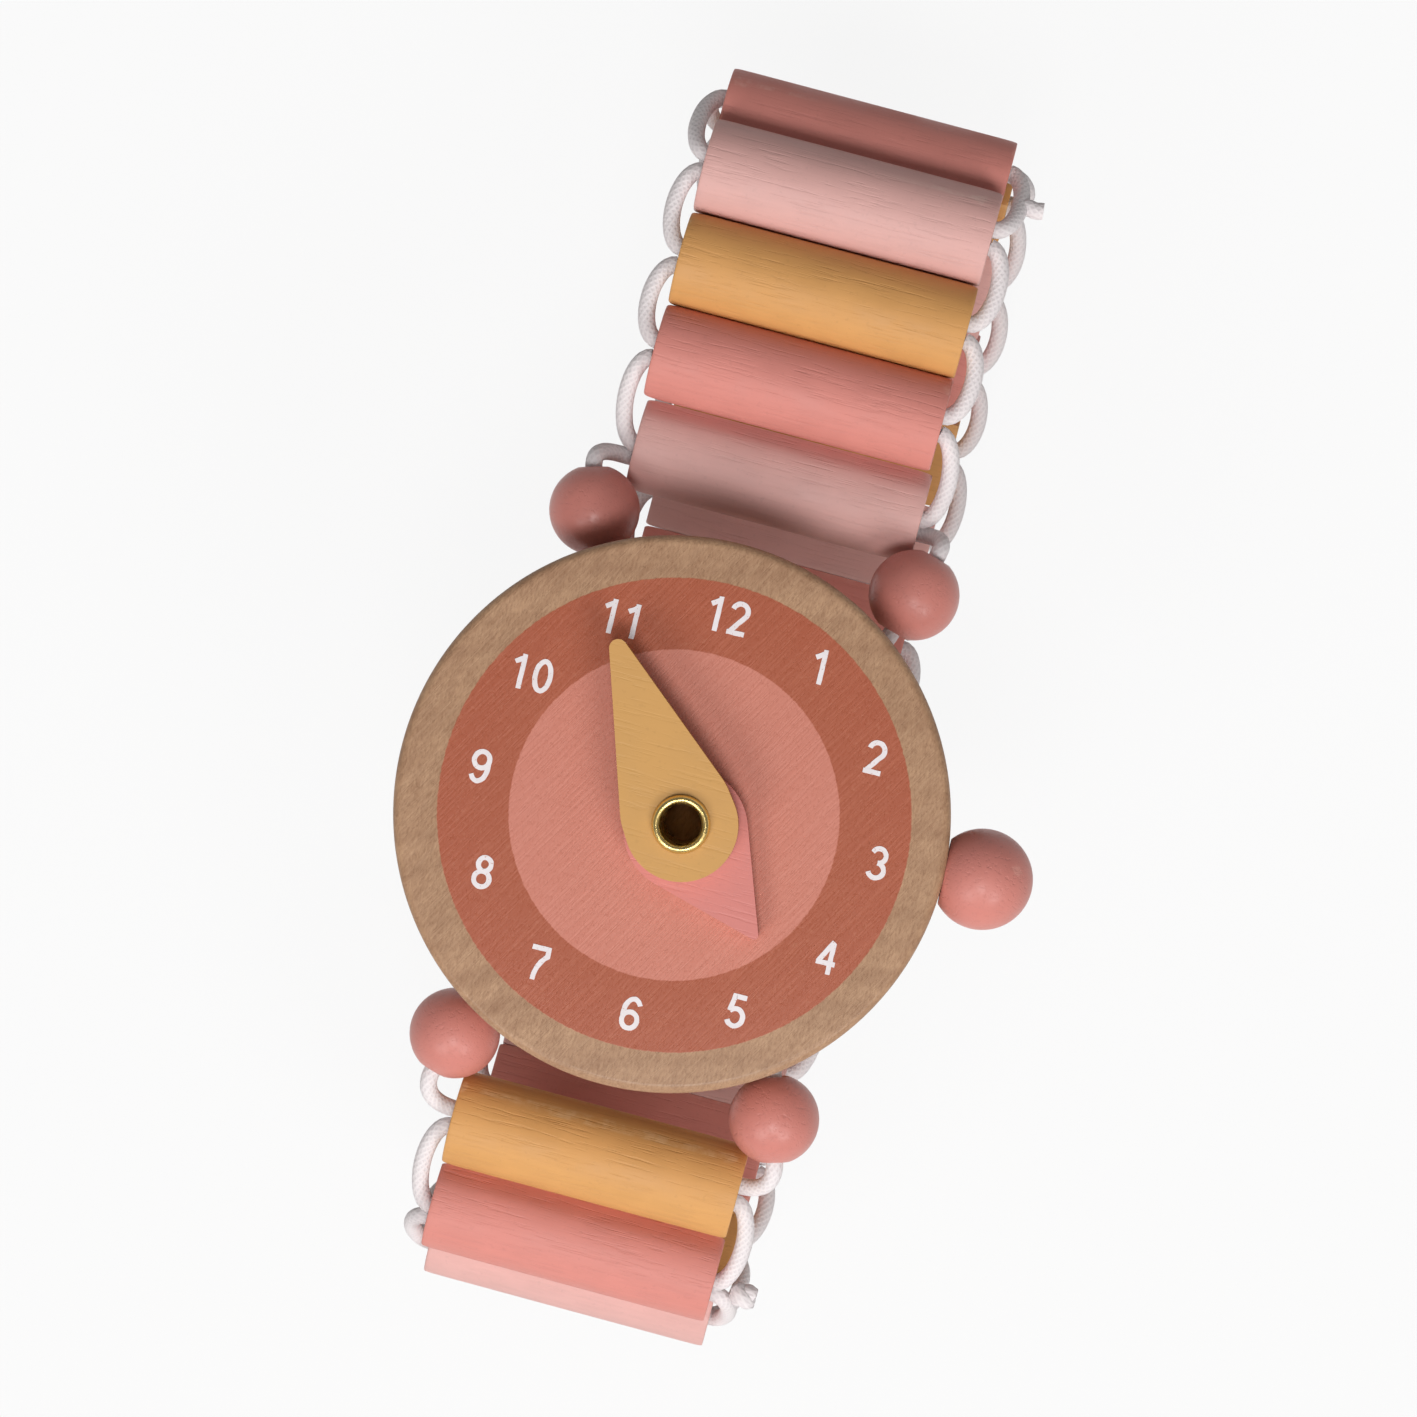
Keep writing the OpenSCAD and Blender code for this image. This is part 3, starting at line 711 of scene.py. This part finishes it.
# %% Ink the strokes round the dial
NUMERAL_CENTRE = Vector((0.55, 0.12, 0))
NUMERAL_RADIUS, NUMERAL_HEIGHT, INK_THICKNESS = 14.82, 2.55, 0.02
PRINT_TURN = math.radians(-1.27)
RAGGED, RAGGED_PER_MM, LAYER_STEP, MITRE_LIMIT = 0.03, 3.1, 0.004, 0.4
NOISE_SEED = 12


def ribbon(path, half_width):
    closed = (Vector(path[0]) - Vector(path[-1])).length < 0.001
    corners = [Vector(p) for p in (path[:-1] if closed else path)]
    count, edges = len(corners), []
    for i, corner in enumerate(corners):
        before = corners[i - 1] if closed or i else corner
        after = corners[(i + 1) % count] if closed or i < count - 1 else corner
        come = (corner - before).normalized() if before != corner else (after - corner).normalized()
        leave = (after - corner).normalized() if after != corner else come
        way = (come + leave).normalized()
        reach = half_width / max(MITRE_LIMIT, way.dot(come))
        across = Vector((-way.y, way.x)) * reach
        edges.append((corner + across, corner - across))
    return edges, closed


def ink_stroke(path, place, thickness):
    edges, closed = ribbon(path, STROKE_WIDTH / 2)
    start, count = len(ink_points), len(edges)
    for edge in edges:
        for spot in edge:
            flat = place @ Vector((spot.x, spot.y, 0))
            shake = noise.noise_vector(flat * RAGGED_PER_MM) * RAGGED
            x, y = flat.x + shake.x, flat.y + shake.y
            for height in (0.0, thickness):
                ink_points.append(Vector((x, y, flat.z + height)) * MM)
    for i in range(count if closed else count - 1):
        a, b = start + 4 * i, start + 4 * ((i + 1) % count)
        ink_faces.extend([(a + 1, b + 1, b + 3, a + 3), (a, a + 2, b + 2, b),
                          (a, b, b + 1, a + 1), (a + 2, a + 3, b + 3, b + 2)])
    if not closed:
        last = start + 4 * (count - 1)
        ink_faces.extend([(start, start + 1, start + 3, start + 2),
                          (last, last + 2, last + 3, last + 1)])


noise.seed_set(NOISE_SEED)
ink_points, ink_faces = [], []
for hour in range(1, 13):
    turn = math.radians(30 * hour) + PRINT_TURN
    centre = NUMERAL_CENTRE + Vector((math.sin(turn), math.cos(turn), 0)) * NUMERAL_RADIUS
    centre.z = DIAL_FRONT / MM
    upright = Matrix.Rotation(-PRINT_TURN, 4, "Z") @ Matrix.Scale(NUMERAL_HEIGHT, 4)
    digits = str(hour)
    left = -(0.6 + DIGIT_STEP * (len(digits) - 1)) / 2
    for i, digit in enumerate(digits):
        corner = Matrix.Translation((left + DIGIT_STEP * i, -0.5, 0))
        for layer, stroke in enumerate(DIGITS[digit]):
            place = Matrix.Translation(centre) @ upright @ corner
            ink_stroke(stroke, place, INK_THICKNESS + LAYER_STEP * layer)
numerals = mesh_piece("dial_numerals", ink_points, ink_faces, ink_material)
tidy_mesh(numerals, 30.0)
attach(numerals, "head")
print("twelve numerals with", len(ink_faces), "faces")

# %% [markdown]
# ## Where the strap's slats lie
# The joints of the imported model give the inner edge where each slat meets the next. From one
# edge to the next is one pitch, in the direction of the slat, so the joints also give the
# angles. The last slat of each half lies level, under the wrist.

# %% Read the slats' places from the joints
SLAT_LENGTH, SLAT_THICKNESS, DOWEL_RADIUS = 21.9, 4.5, 3.65
PITCH, BORE_HEIGHT, BORE_RADIUS = 7.05, 2.1, 1.32
UPPER, LOWER = list(range(1, 13)), list(range(21, 12, -1))
UPPER_START, LOWER_START = math.radians(-40), 0.0
pivots = {j["child"]: Vector(j["pos_m"]) / MM for j in frame["joints"]}
slats = {}


def direction(angle):
    return Vector((math.cos(angle), -math.sin(angle)))


for side, chain in ((1, UPPER), (-1, LOWER)):
    edges = [pivots[f"slat_{k:02d}"] for k in chain]
    corners = [Vector((side * edge.y, edge.z)) for edge in edges]
    for i, k in enumerate(chain):
        if i == 0:
            angle = UPPER_START if side == 1 else LOWER_START
            corner = corners[1] - PITCH * direction(angle)
        elif i == len(chain) - 1:
            angle, corner = math.pi, corners[i]
        else:
            step = corners[i + 1] - corners[i]
            angle, corner = math.atan2(-step.y, step.x), corners[i]
        low, high = in_mm(f"slat_{k:02d}")
        slats[k] = ((low.x + high.x) / 2, corner, angle, side)


def on_slat(k, x, y, z):
    middle, corner, angle, side = slats[k]
    along, out = direction(angle), Vector((math.sin(angle), math.cos(angle)))
    yz = corner + y * along + z * out
    return Vector((middle + x, side * yz.x, yz.y))


print("slat angles:", {k: round(math.degrees(slats[k][2])) for k in sorted(slats)})

# %% [markdown]
# ## A half round slat with Geometry Nodes
# All slats are the same dowel, cut flat on one side and bored for the elastic. The tree starts
# from a grid whose columns go round the slat and whose rows go over the outside, round one
# end, back through the bore and round the other end. Each point's place follows from its column
# and row, so the sizes are inputs of the tree, and the result is one closed skin of quads. A slat
# is as wide as the pitch, so that slats that lie level leave no slit between them.

# %% Build the slat's tree
COLUMNS, ROWS = 72, 36
END_SQUARENESS, SAWN_SHARE, SMALLEST, MERGE_WITHIN = 0.11, 0.3, 0.02, 0.002 * MM
BUMPS_PER_METRE = 220.0


def squared_off(tree, value):
    root = calc(tree, "POWER", calc(tree, "ABSOLUTE", value), END_SQUARENESS)
    return times(tree, calc(tree, "SIGN", value), root)


def finish_tree(tree, out, geometry, material):
    whole = add(tree, "GeometryNodeRealizeInstances", {"Geometry": geometry}).outputs[0]
    coloured = add(tree, "GeometryNodeSetMaterial", {"Geometry": whole, "Material": material})
    feed(out, 0, coloured.outputs[0])


def make_slat_tree():
    sizes = ("Length", "Width", "Thickness", "Dowel Radius", "Bore Height", "Bore Radius",
             "Edge Softness", "Unevenness", "Seed")
    inputs = [(size, FLOAT, 0.0) for size in sizes]
    inputs += [("Place", VECTOR, None), ("Turn", VECTOR, None), ("Finish", MATERIAL, None)]
    tree, given, out = new_group(
        "half_round_slat", "GeometryNodeTree", inputs, [("Geometry", GEOMETRY)])
    tree.is_modifier = True
    grid = add(tree, "GeometryNodeMeshGrid",
               {"Size X": 1.0, "Size Y": 1.0, "Vertices X": COLUMNS + 1, "Vertices Y": ROWS + 1})
    spot = apart(tree, add(tree, "GeometryNodeInputPosition").outputs[0])
    around = times(tree, spot["X"], 2 * math.pi)
    over = times(tree, spot["Y"], 2 * math.pi)
    cosine, sine = calc(tree, "COSINE", around), calc(tree, "SINE", around)
    across = squared_off(tree, calc(tree, "COSINE", over))
    outside = squared_off(tree, calc(tree, "SINE", over))
    outside = calc(tree, "MULTIPLY_ADD", outside, 0.5, 0.5)
    downward = calc(tree, "MAXIMUM", times(tree, sine, -1.0), SMALLEST)
    to_flat = calc(tree, "DIVIDE", given["Bore Height"], downward)
    sideward = calc(tree, "MAXIMUM", calc(tree, "ABSOLUTE", cosine), SMALLEST)
    to_side = calc(tree, "DIVIDE", times(tree, given["Width"], 0.5), sideward)
    drop = calc(tree, "SUBTRACT", given["Thickness"], given["Dowel Radius"])
    drop = calc(tree, "SUBTRACT", drop, given["Bore Height"])
    lean = times(tree, drop, sine)
    square = calc(tree, "SUBTRACT", times(tree, lean, lean), times(tree, drop, drop))
    square = calc(tree, "ADD", square, times(tree, given["Dowel Radius"], given["Dowel Radius"]))
    to_crown = calc(tree, "ADD", lean, calc(tree, "SQRT", square))
    sawn_edge = times(tree, given["Edge Softness"], SAWN_SHARE)
    nearest = calc(tree, "SMOOTH_MIN", to_flat, to_side, sawn_edge)
    nearest = calc(tree, "SMOOTH_MIN", nearest, to_crown, given["Edge Softness"])
    nearest = calc(tree, "MINIMUM", nearest, to_flat)
    values = {0: outside, 2: given["Bore Radius"], 3: nearest}
    radius = add(tree, "ShaderNodeMix", values, data_type="FLOAT").outputs[0]
    reach = times(tree, times(tree, across, given["Length"]), 0.5)
    y = times(tree, radius, cosine)
    z = calc(tree, "ADD", times(tree, radius, sine), given["Bore Height"])
    skin = together(tree, reach, y, z)
    values = {"Vector": skin, "W": given["Seed"], "Scale": BUMPS_PER_METRE, "Detail": 1.0}
    rough = add(tree, "ShaderNodeTexNoise", values, noise_dimensions="4D").outputs["Color"]
    values = {0: vector_sum(tree, "SUBTRACT", rough, (0.5, 0.5, 0.5)),
              "Scale": given["Unevenness"]}
    shake = add(tree, "ShaderNodeVectorMath", values, operation="SCALE").outputs[0]
    shaken = vector_sum(tree, "ADD", skin, shake)
    formed = add(tree, "GeometryNodeSetPosition",
                 {"Geometry": grid.outputs["Mesh"], "Position": shaken})
    closed = add(tree, "GeometryNodeMergeByDistance",
                 {"Geometry": formed.outputs[0], "Distance": MERGE_WITHIN})
    placed = add(tree, "GeometryNodeTransform",
                 {"Geometry": closed.outputs[0], "Translation": given["Place"],
                  "Rotation": given["Turn"]})
    finish_tree(tree, out, placed.outputs[0], given["Finish"])
    return tree


slat_tree = make_slat_tree()
print("the slat's tree has", len(slat_tree.nodes), "nodes")


# %% Make the twenty-one slats
def run_tree(name, data, tree, values):
    piece = new_object(name, data)
    modifier = piece.modifiers.new(tree.name, "NODES")
    modifier.node_group = tree
    for socket in tree.interface.items_tree:
        if socket.in_out == "INPUT" and socket.name in values:
            modifier[socket.identifier] = values[socket.name]
    view = bpy.context.evaluated_depsgraph_get()
    mesh = bpy.data.meshes.new_from_object(piece.evaluated_get(view), depsgraph=view)
    bpy.data.objects.remove(piece)
    return new_object(name, mesh)


COLOURS = {1: "pale_pink_wood", 2: "salmon_wood", 0: "yellow_wood"}
slat_sizes = {
    "Length": SLAT_LENGTH * MM, "Width": PITCH * MM, "Thickness": SLAT_THICKNESS * MM,
    "Dowel Radius": DOWEL_RADIUS * MM, "Bore Height": BORE_HEIGHT * MM,
    "Bore Radius": BORE_RADIUS * MM, "Edge Softness": 0.20 * MM, "Unevenness": 0.04 * MM,
}
for k in sorted(slats):
    angle, side = slats[k][2], slats[k][3]
    slot = COLOURS[k % 3]
    values = dict(slat_sizes, Seed=float(k), Place=on_slat(k, 0, PITCH / 2, 0) * MM,
                  Turn=(-side * angle, 0.0, 0.0), Finish=paints[slot])
    made = run_tree(f"strap_slat_{k:02d}", bpy.data.meshes.new("empty"), slat_tree, values)
    tidy_mesh(made, 60.0)
    body = f"slat_{k:02d}"
    stands_for(made, body, slot, body)

# %% [markdown]
# ## The elastic's tube with Geometry Nodes
# Every run of elastic is a path of points. The tree resamples the path, sweeps a circle along
# it, and stores strand_space on the tube for the braid. Both ends are closed.

# %% Build the elastic's tree
CORD_RADIUS, CORD_SIDES = 0.64, 16
SPACING, KNOT_SPACING = 0.35, 0.2


def make_elastic_tree():
    inputs = [("Geometry", GEOMETRY, None), ("Radius", FLOAT, 1.0), ("Spacing", FLOAT, 1.0),
              ("Finish", MATERIAL, None)]
    tree, given, out = new_group(
        "round_elastic", "GeometryNodeTree", inputs, [("Geometry", GEOMETRY)])
    tree.is_modifier = True
    values = {"Curve": given["Geometry"], "Length": given["Spacing"]}
    path = add(tree, "GeometryNodeResampleCurve", values, mode="LENGTH").outputs[0]
    length = add(tree, "GeometryNodeSplineParameter").outputs["Length"]
    path = add(tree, "GeometryNodeCaptureAttribute", {0: path})
    path.capture_items.new("FLOAT", "Along")
    feed(path, "Along", length)
    circle = add(tree, "GeometryNodeCurvePrimitiveCircle",
                 {"Resolution": CORD_SIDES, "Radius": 1.0}).outputs[0]
    rim = add(tree, "GeometryNodeCaptureAttribute", {0: circle})
    rim.capture_items.new("VECTOR", "Round")
    feed(rim, "Round", add(tree, "GeometryNodeInputPosition").outputs[0])
    profile = add(tree, "GeometryNodeTransform", {"Geometry": rim.outputs[0]})
    radius = given["Radius"]
    feed(profile, "Scale", together(tree, radius, radius, radius))
    values = {"Curve": path.outputs[0], "Profile Curve": profile.outputs[0], "Fill Caps": True}
    tube = add(tree, "GeometryNodeCurveToMesh", values).outputs[0]
    parts = apart(tree, rim.outputs["Round"])
    space = together(tree, parts["X"], parts["Y"], path.outputs["Along"])
    stored = add(tree, "GeometryNodeStoreNamedAttribute",
                 {"Geometry": tube, "Name": "strand_space"},
                 data_type="FLOAT_VECTOR", domain="POINT")
    value_socket = next(s for s in stored.inputs if s.name == "Value" and s.enabled)
    tree.links.new(space, value_socket)
    finish_tree(tree, out, stored.outputs[0], given["Finish"])
    return tree


elastic_tree = make_elastic_tree()
print("the elastic's tree has", len(elastic_tree.nodes), "nodes")


# %% Turn routes into elastic
def elastic_piece(name, routes, spacing=SPACING):
    curve = bpy.data.curves.new(name, "CURVE")
    curve.dimensions = "3D"
    for route in routes:
        spline = curve.splines.new("POLY")
        spline.points.add(len(route) - 1)
        for point, place in zip(spline.points, route):
            point.co = (*(place * MM), 1.0)
    values = {"Radius": CORD_RADIUS * MM, "Spacing": spacing * MM, "Finish": elastic}
    piece = run_tree(name, curve, elastic_tree, values)
    for face in piece.data.polygons:
        face.use_smooth = True
    return piece


# %% [markdown]
# ## How the strap is laced
# Two strands run through each slat and cross over inside it. Each leaves at an end of the slat,
# turns in a small loop and enters the next slat, so the loops show on both sides of the strap.
# A loop bends when the strap flexes. The two halves of the strap meet between slat 12 and slat 13,
# which isn't a joint of the model, so the pieces of those two ride on their slat. Each other piece
# is left where it is made.

# %% Lace the slats
STRAND_OFF, LOOP_BULGE = 0.645, 1.4
MEET_UPPER, MEET_LOWER = UPPER[-1], LOWER[-1]


def mouth(k, side_x, side_y):
    return on_slat(k, side_x * SLAT_LENGTH / 2, PITCH / 2 + side_y * STRAND_OFF, BORE_HEIGHT)


def strand(k, side_x, steps=24):
    points = []
    for i in range(steps + 1):
        t = i / steps
        turn = math.pi * t
        y = PITCH / 2 - STRAND_OFF * math.cos(turn)
        z = BORE_HEIGHT + side_x * STRAND_OFF * math.sin(turn)
        points.append(on_slat(k, side_x * (t - 0.5) * SLAT_LENGTH, y, z))
    return points


def side_loop(k, side_x, steps=28):
    a = mouth(k, side_x, 1)
    if k == MEET_UPPER:
        b = mouth(MEET_LOWER, side_x, 1)
    else:
        b = mouth(k + slats[k][3], side_x, -1)
    points = []
    for i in range(1, steps + 1):
        turn = math.pi * i / steps
        out = Vector((side_x * LOOP_BULGE * math.sin(turn), 0, 0))
        points.append(a * (1 + math.cos(turn)) / 2 + b * (1 - math.cos(turn)) / 2 + out)
    return points


for k in sorted(slats):
    routes = [strand(k, side_x) + (side_loop(k, side_x) if k != MEET_LOWER else [])
              for side_x in (-1, 1)]
    piece = elastic_piece(f"elastic_{k:02d}", routes)
    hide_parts(f"lacing_{k:02d}")
    here = f"slat_{k:02d}"
    if k in (MEET_UPPER, MEET_LOWER):
        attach(piece, here)
        continue
    after = k + slats[k][3]
    start = on_slat(k, 0, PITCH / 2 + STRAND_OFF, BORE_HEIGHT)
    end = on_slat(after, 0, PITCH / 2 - STRAND_OFF, BORE_HEIGHT)
    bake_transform(piece)
print("laced", len(slats), "slats")

# %% [markdown]
# ## From the slats to the block
# At each end of the strap the elastic leaves the first slat, runs through a bead and enters the
# cross hole of the block. A curve with a set direction at both ends gives that path its gentle
# bend. The two straight strands inside the block ride with it.

# %% Run the elastic through the beads
HOLE_Y, HOLE_Z, BLOCK_WIDTH = 14.5, 3.0, 19.0
BEAD_PULL, SLAT_PULL = 3.9, 5.1


def gentle_bend(a, pull_a, b, pull_b, steps):
    points = []
    for i in range(steps):
        t = i / steps
        points.append((2 * t**3 - 3 * t**2 + 1) * a + (t**3 - 2 * t**2 + t) * pull_a
                      + (3 * t**2 - 2 * t**3) * b + (t**3 - t**2) * pull_b)
    return points


def bead_run(k, side_x):
    side_y = slats[k][3]
    upright, across = "upper" if side_y > 0 else "lower", "left" if side_x < 0 else "right"
    low, high = in_mm(f"bead_{upright}_{across}")
    middle, lean = (low + high) / 2, math.radians(BEAD_LEAN)
    axis = Vector((side_x * math.sin(lean), side_y * math.cos(lean), 0))
    near, far = middle - axis * half_bead, middle + axis * half_bead
    out = Vector((side_x, 0, 0))
    start = Vector((side_x * BLOCK_WIDTH / 2, side_y * HOLE_Y, HOLE_Z))
    end = mouth(k, side_x, -1)
    inside = [near + (far - near) * i / 6 for i in range(6)]
    points = gentle_bend(start, out * BEAD_PULL, near, axis * BEAD_PULL, 12) + inside
    points += gentle_bend(far, axis * SLAT_PULL, end, -out * SLAT_PULL, 24) + [end]
    return points, start, near


for k, upright in ((1, "upper"), (21, "lower")):
    runs = [bead_run(k, side_x) for side_x in (-1, 1)]
    piece = elastic_piece(f"elastic_{upright}_beads", [run[0] for run in runs])
    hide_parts(f"lacing_{k:02d}")
    start, end = runs[0][1], runs[0][2]
    start, end = Vector((0, start.y, start.z)), Vector((0, end.y, end.z))
    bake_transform(piece)
in_block = [[Vector((side_x * BLOCK_WIDTH / 2, y, HOLE_Z)) for side_x in (-1, 0, 1)]
            for y in (-HOLE_Y, HOLE_Y)]
stands_for(elastic_piece("elastic_in_block", in_block), "head", "elastic", "lacing_head")

# %% [markdown]
# ## Knot and cut end
# The lacing ends in a small overhand knot beside the slats that turn down at 6 o'clock, and one
# cut end shows beside the slats at 12 o'clock. An overhand knot is a trefoil that stays open at
# one place, so a trefoil's formula gives its path, and its ends run on a little.

# %% Tie the knot
knot_low, knot_high = in_mm("cord_knot")
knot_middle = (knot_low + knot_high) / 2
KNOT_OPEN, KNOT_DEPTH, KNOT_FLATNESS, KNOT_MARGIN = 0.04, 0.38, 0.75, 0.8 * CORD_RADIUS


def overhand(middle, size, steps=60):
    points = []
    for i in range(steps + 1):
        turn = 2 * math.pi * (KNOT_OPEN + (1 - 2 * KNOT_OPEN) * i / steps)
        ring = 1 - KNOT_DEPTH + KNOT_DEPTH * math.cos(3 * turn)
        x, z = size.x * ring * math.cos(2 * turn), size.z * ring * math.sin(2 * turn)
        points.append(middle + Vector((x, size.y * KNOT_FLATNESS * math.sin(3 * turn), z)))
    return points


knot_room = (knot_high - knot_low) / 2 - Vector((KNOT_MARGIN, KNOT_MARGIN, KNOT_MARGIN))
knot = elastic_piece("elastic_knot", [overhand(knot_middle, knot_room)], KNOT_SPACING)
stands_for(knot, "slat_20", "elastic", "cord_knot")

tail_low, tail_high = in_mm("cord_tail")
tail_middle = (tail_low + tail_high) / 2
TAIL_START, TAIL_EXTRA, TAIL_WAVE, TAIL_STEPS = 0.3, 0.25, 0.05, 8
tail_step = (tail_high.x - tail_low.x + TAIL_EXTRA) / TAIL_STEPS
tail_route = [tail_middle.copy() for i in range(TAIL_STEPS + 1)]
for i, point in enumerate(tail_route):
    point.x = tail_low.x - TAIL_START + tail_step * i
    point.y += TAIL_WAVE * math.sin(i)
tail = elastic_piece("elastic_cut_end", [tail_route], KNOT_SPACING)
stands_for(tail, "slat_04", "elastic", "cord_tail")

# %% [markdown]
# ## Floor, light and camera
# The photograph looks straight down on the dial, against white. The floor lies under the slats
# and catches a faint shadow. Rays from the camera see most of the white world through it, so the
# strap still shows where it is folded lower than the floor, or when it is seen from below.
# Three large soft lamps stand beyond the end at 6 o'clock: a low one to the right, a low one to
# the left and a higher one between them, so the hands throw wide soft shadows away from that
# end. An even white world fills the rest.

# %% Floor
FLOOR_DROP, FLOOR_REACH = 0.05 * MM, 2.5
CAMERA_WHITE = 0.9


def floor_material():
    material, tree, shader = new_material("white_floor", 0.9)
    place = object_place(tree)
    cloud = noise_of(tree, place, 6.0, 2.0)
    colour = mixed(tree, cloud, srgb(214, 213, 212), srgb(208, 207, 206))
    feed(shader, "Base Color", colour)
    rays = add(tree, "ShaderNodeLightPath").outputs
    mirrored = calc(tree, "MAXIMUM", rays["Is Glossy Ray"], rays["Is Transmission Ray"])
    white = add(tree, "ShaderNodeEmission", {"Color": (1, 1, 1, 1), "Strength": 1.0})
    values = {0: times(tree, mirrored, CAMERA_WHITE), 1: shader.outputs[0], 2: white.outputs[0]}
    both = add(tree, "ShaderNodeMixShader", values).outputs[0]
    clear = add(tree, "ShaderNodeBsdfTransparent").outputs[0]
    seen = times(tree, rays["Is Camera Ray"], CAMERA_WHITE)
    values = {0: calc(tree, "MAXIMUM", seen, rays["Is Shadow Ray"]), 1: both, 2: clear}
    surface = add(tree, "ShaderNodeMixShader", values).outputs[0]
    feed(tree.nodes["Material Output"], "Surface", surface)
    return material


floor_z = cad_box[0].z - FLOOR_DROP
floor_corners = [(x * FLOOR_REACH, y * FLOOR_REACH, floor_z)
                 for x, y in ((-1, -1), (1, -1), (1, 1), (-1, 1))]
floor = mesh_piece("floor", floor_corners, [(0, 1, 2, 3)], floor_material())
print("floor at", round(floor_z / MM, 2), "mm")

# %% Lamps and world
WORLD_STRENGTH = 0.19


def soft_lamp(name, place, size, power):
    light = bpy.data.lights.new(name, "AREA")
    light.shape, light.size, light.energy = "DISK", size, power
    lamp = new_object(name, light)
    lamp.location = place
    lamp.rotation_mode = "QUATERNION"
    lamp.rotation_quaternion = (-Vector(place)).to_track_quat("-Z", "Y")


soft_lamp("right_lamp", (0.38, -0.34, 0.46), 0.30, 1.65)
soft_lamp("left_lamp", (-0.20, -0.46, 0.46), 0.30, 1.45)
soft_lamp("front_lamp", (0.06, -0.26, 0.68), 0.24, 2.1)
world = bpy.data.worlds.new("even_white")
world.use_nodes = True
backdrop = world.node_tree.nodes["Background"]
backdrop.inputs["Color"].default_value = (1, 1, 1, 1)
seen = add(world.node_tree, "ShaderNodeLightPath").outputs["Is Camera Ray"]
strength = calc(world.node_tree, "MULTIPLY_ADD", seen, 1.0 - WORLD_STRENGTH, WORLD_STRENGTH)
feed(backdrop, "Strength", strength)
bpy.context.scene.world = world
bpy.context.scene.view_settings.view_transform = "Standard"
print("lamps and world are set")

# %% Camera
TILT_X, TILT_Y, ROLL = math.radians(1.51), math.radians(0.75), math.radians(14.97)
DISTANCE, LENS = 407.8, 143.1
AIM = Vector((0.62, 8.11, 12.5))

back = Vector((math.tan(TILT_X), math.tan(TILT_Y), 1.0)).normalized()
right = Vector((-math.sin(ROLL), math.cos(ROLL), 0.0)).cross(back).normalized()
above = back.cross(right)
camera_data = bpy.data.cameras.new("photo_camera")
camera_data.lens, camera_data.sensor_width = LENS, 36.0
camera_data.clip_start, camera_data.clip_end = 0.01, 10.0
camera = new_object("photo_camera", camera_data)
turn = Matrix((right, above, back)).transposed().to_4x4()
camera.matrix_world = Matrix.Translation((AIM + back * DISTANCE) * MM) @ turn
bpy.context.scene.camera = camera
print("camera at", [round(c, 3) for c in camera.location])
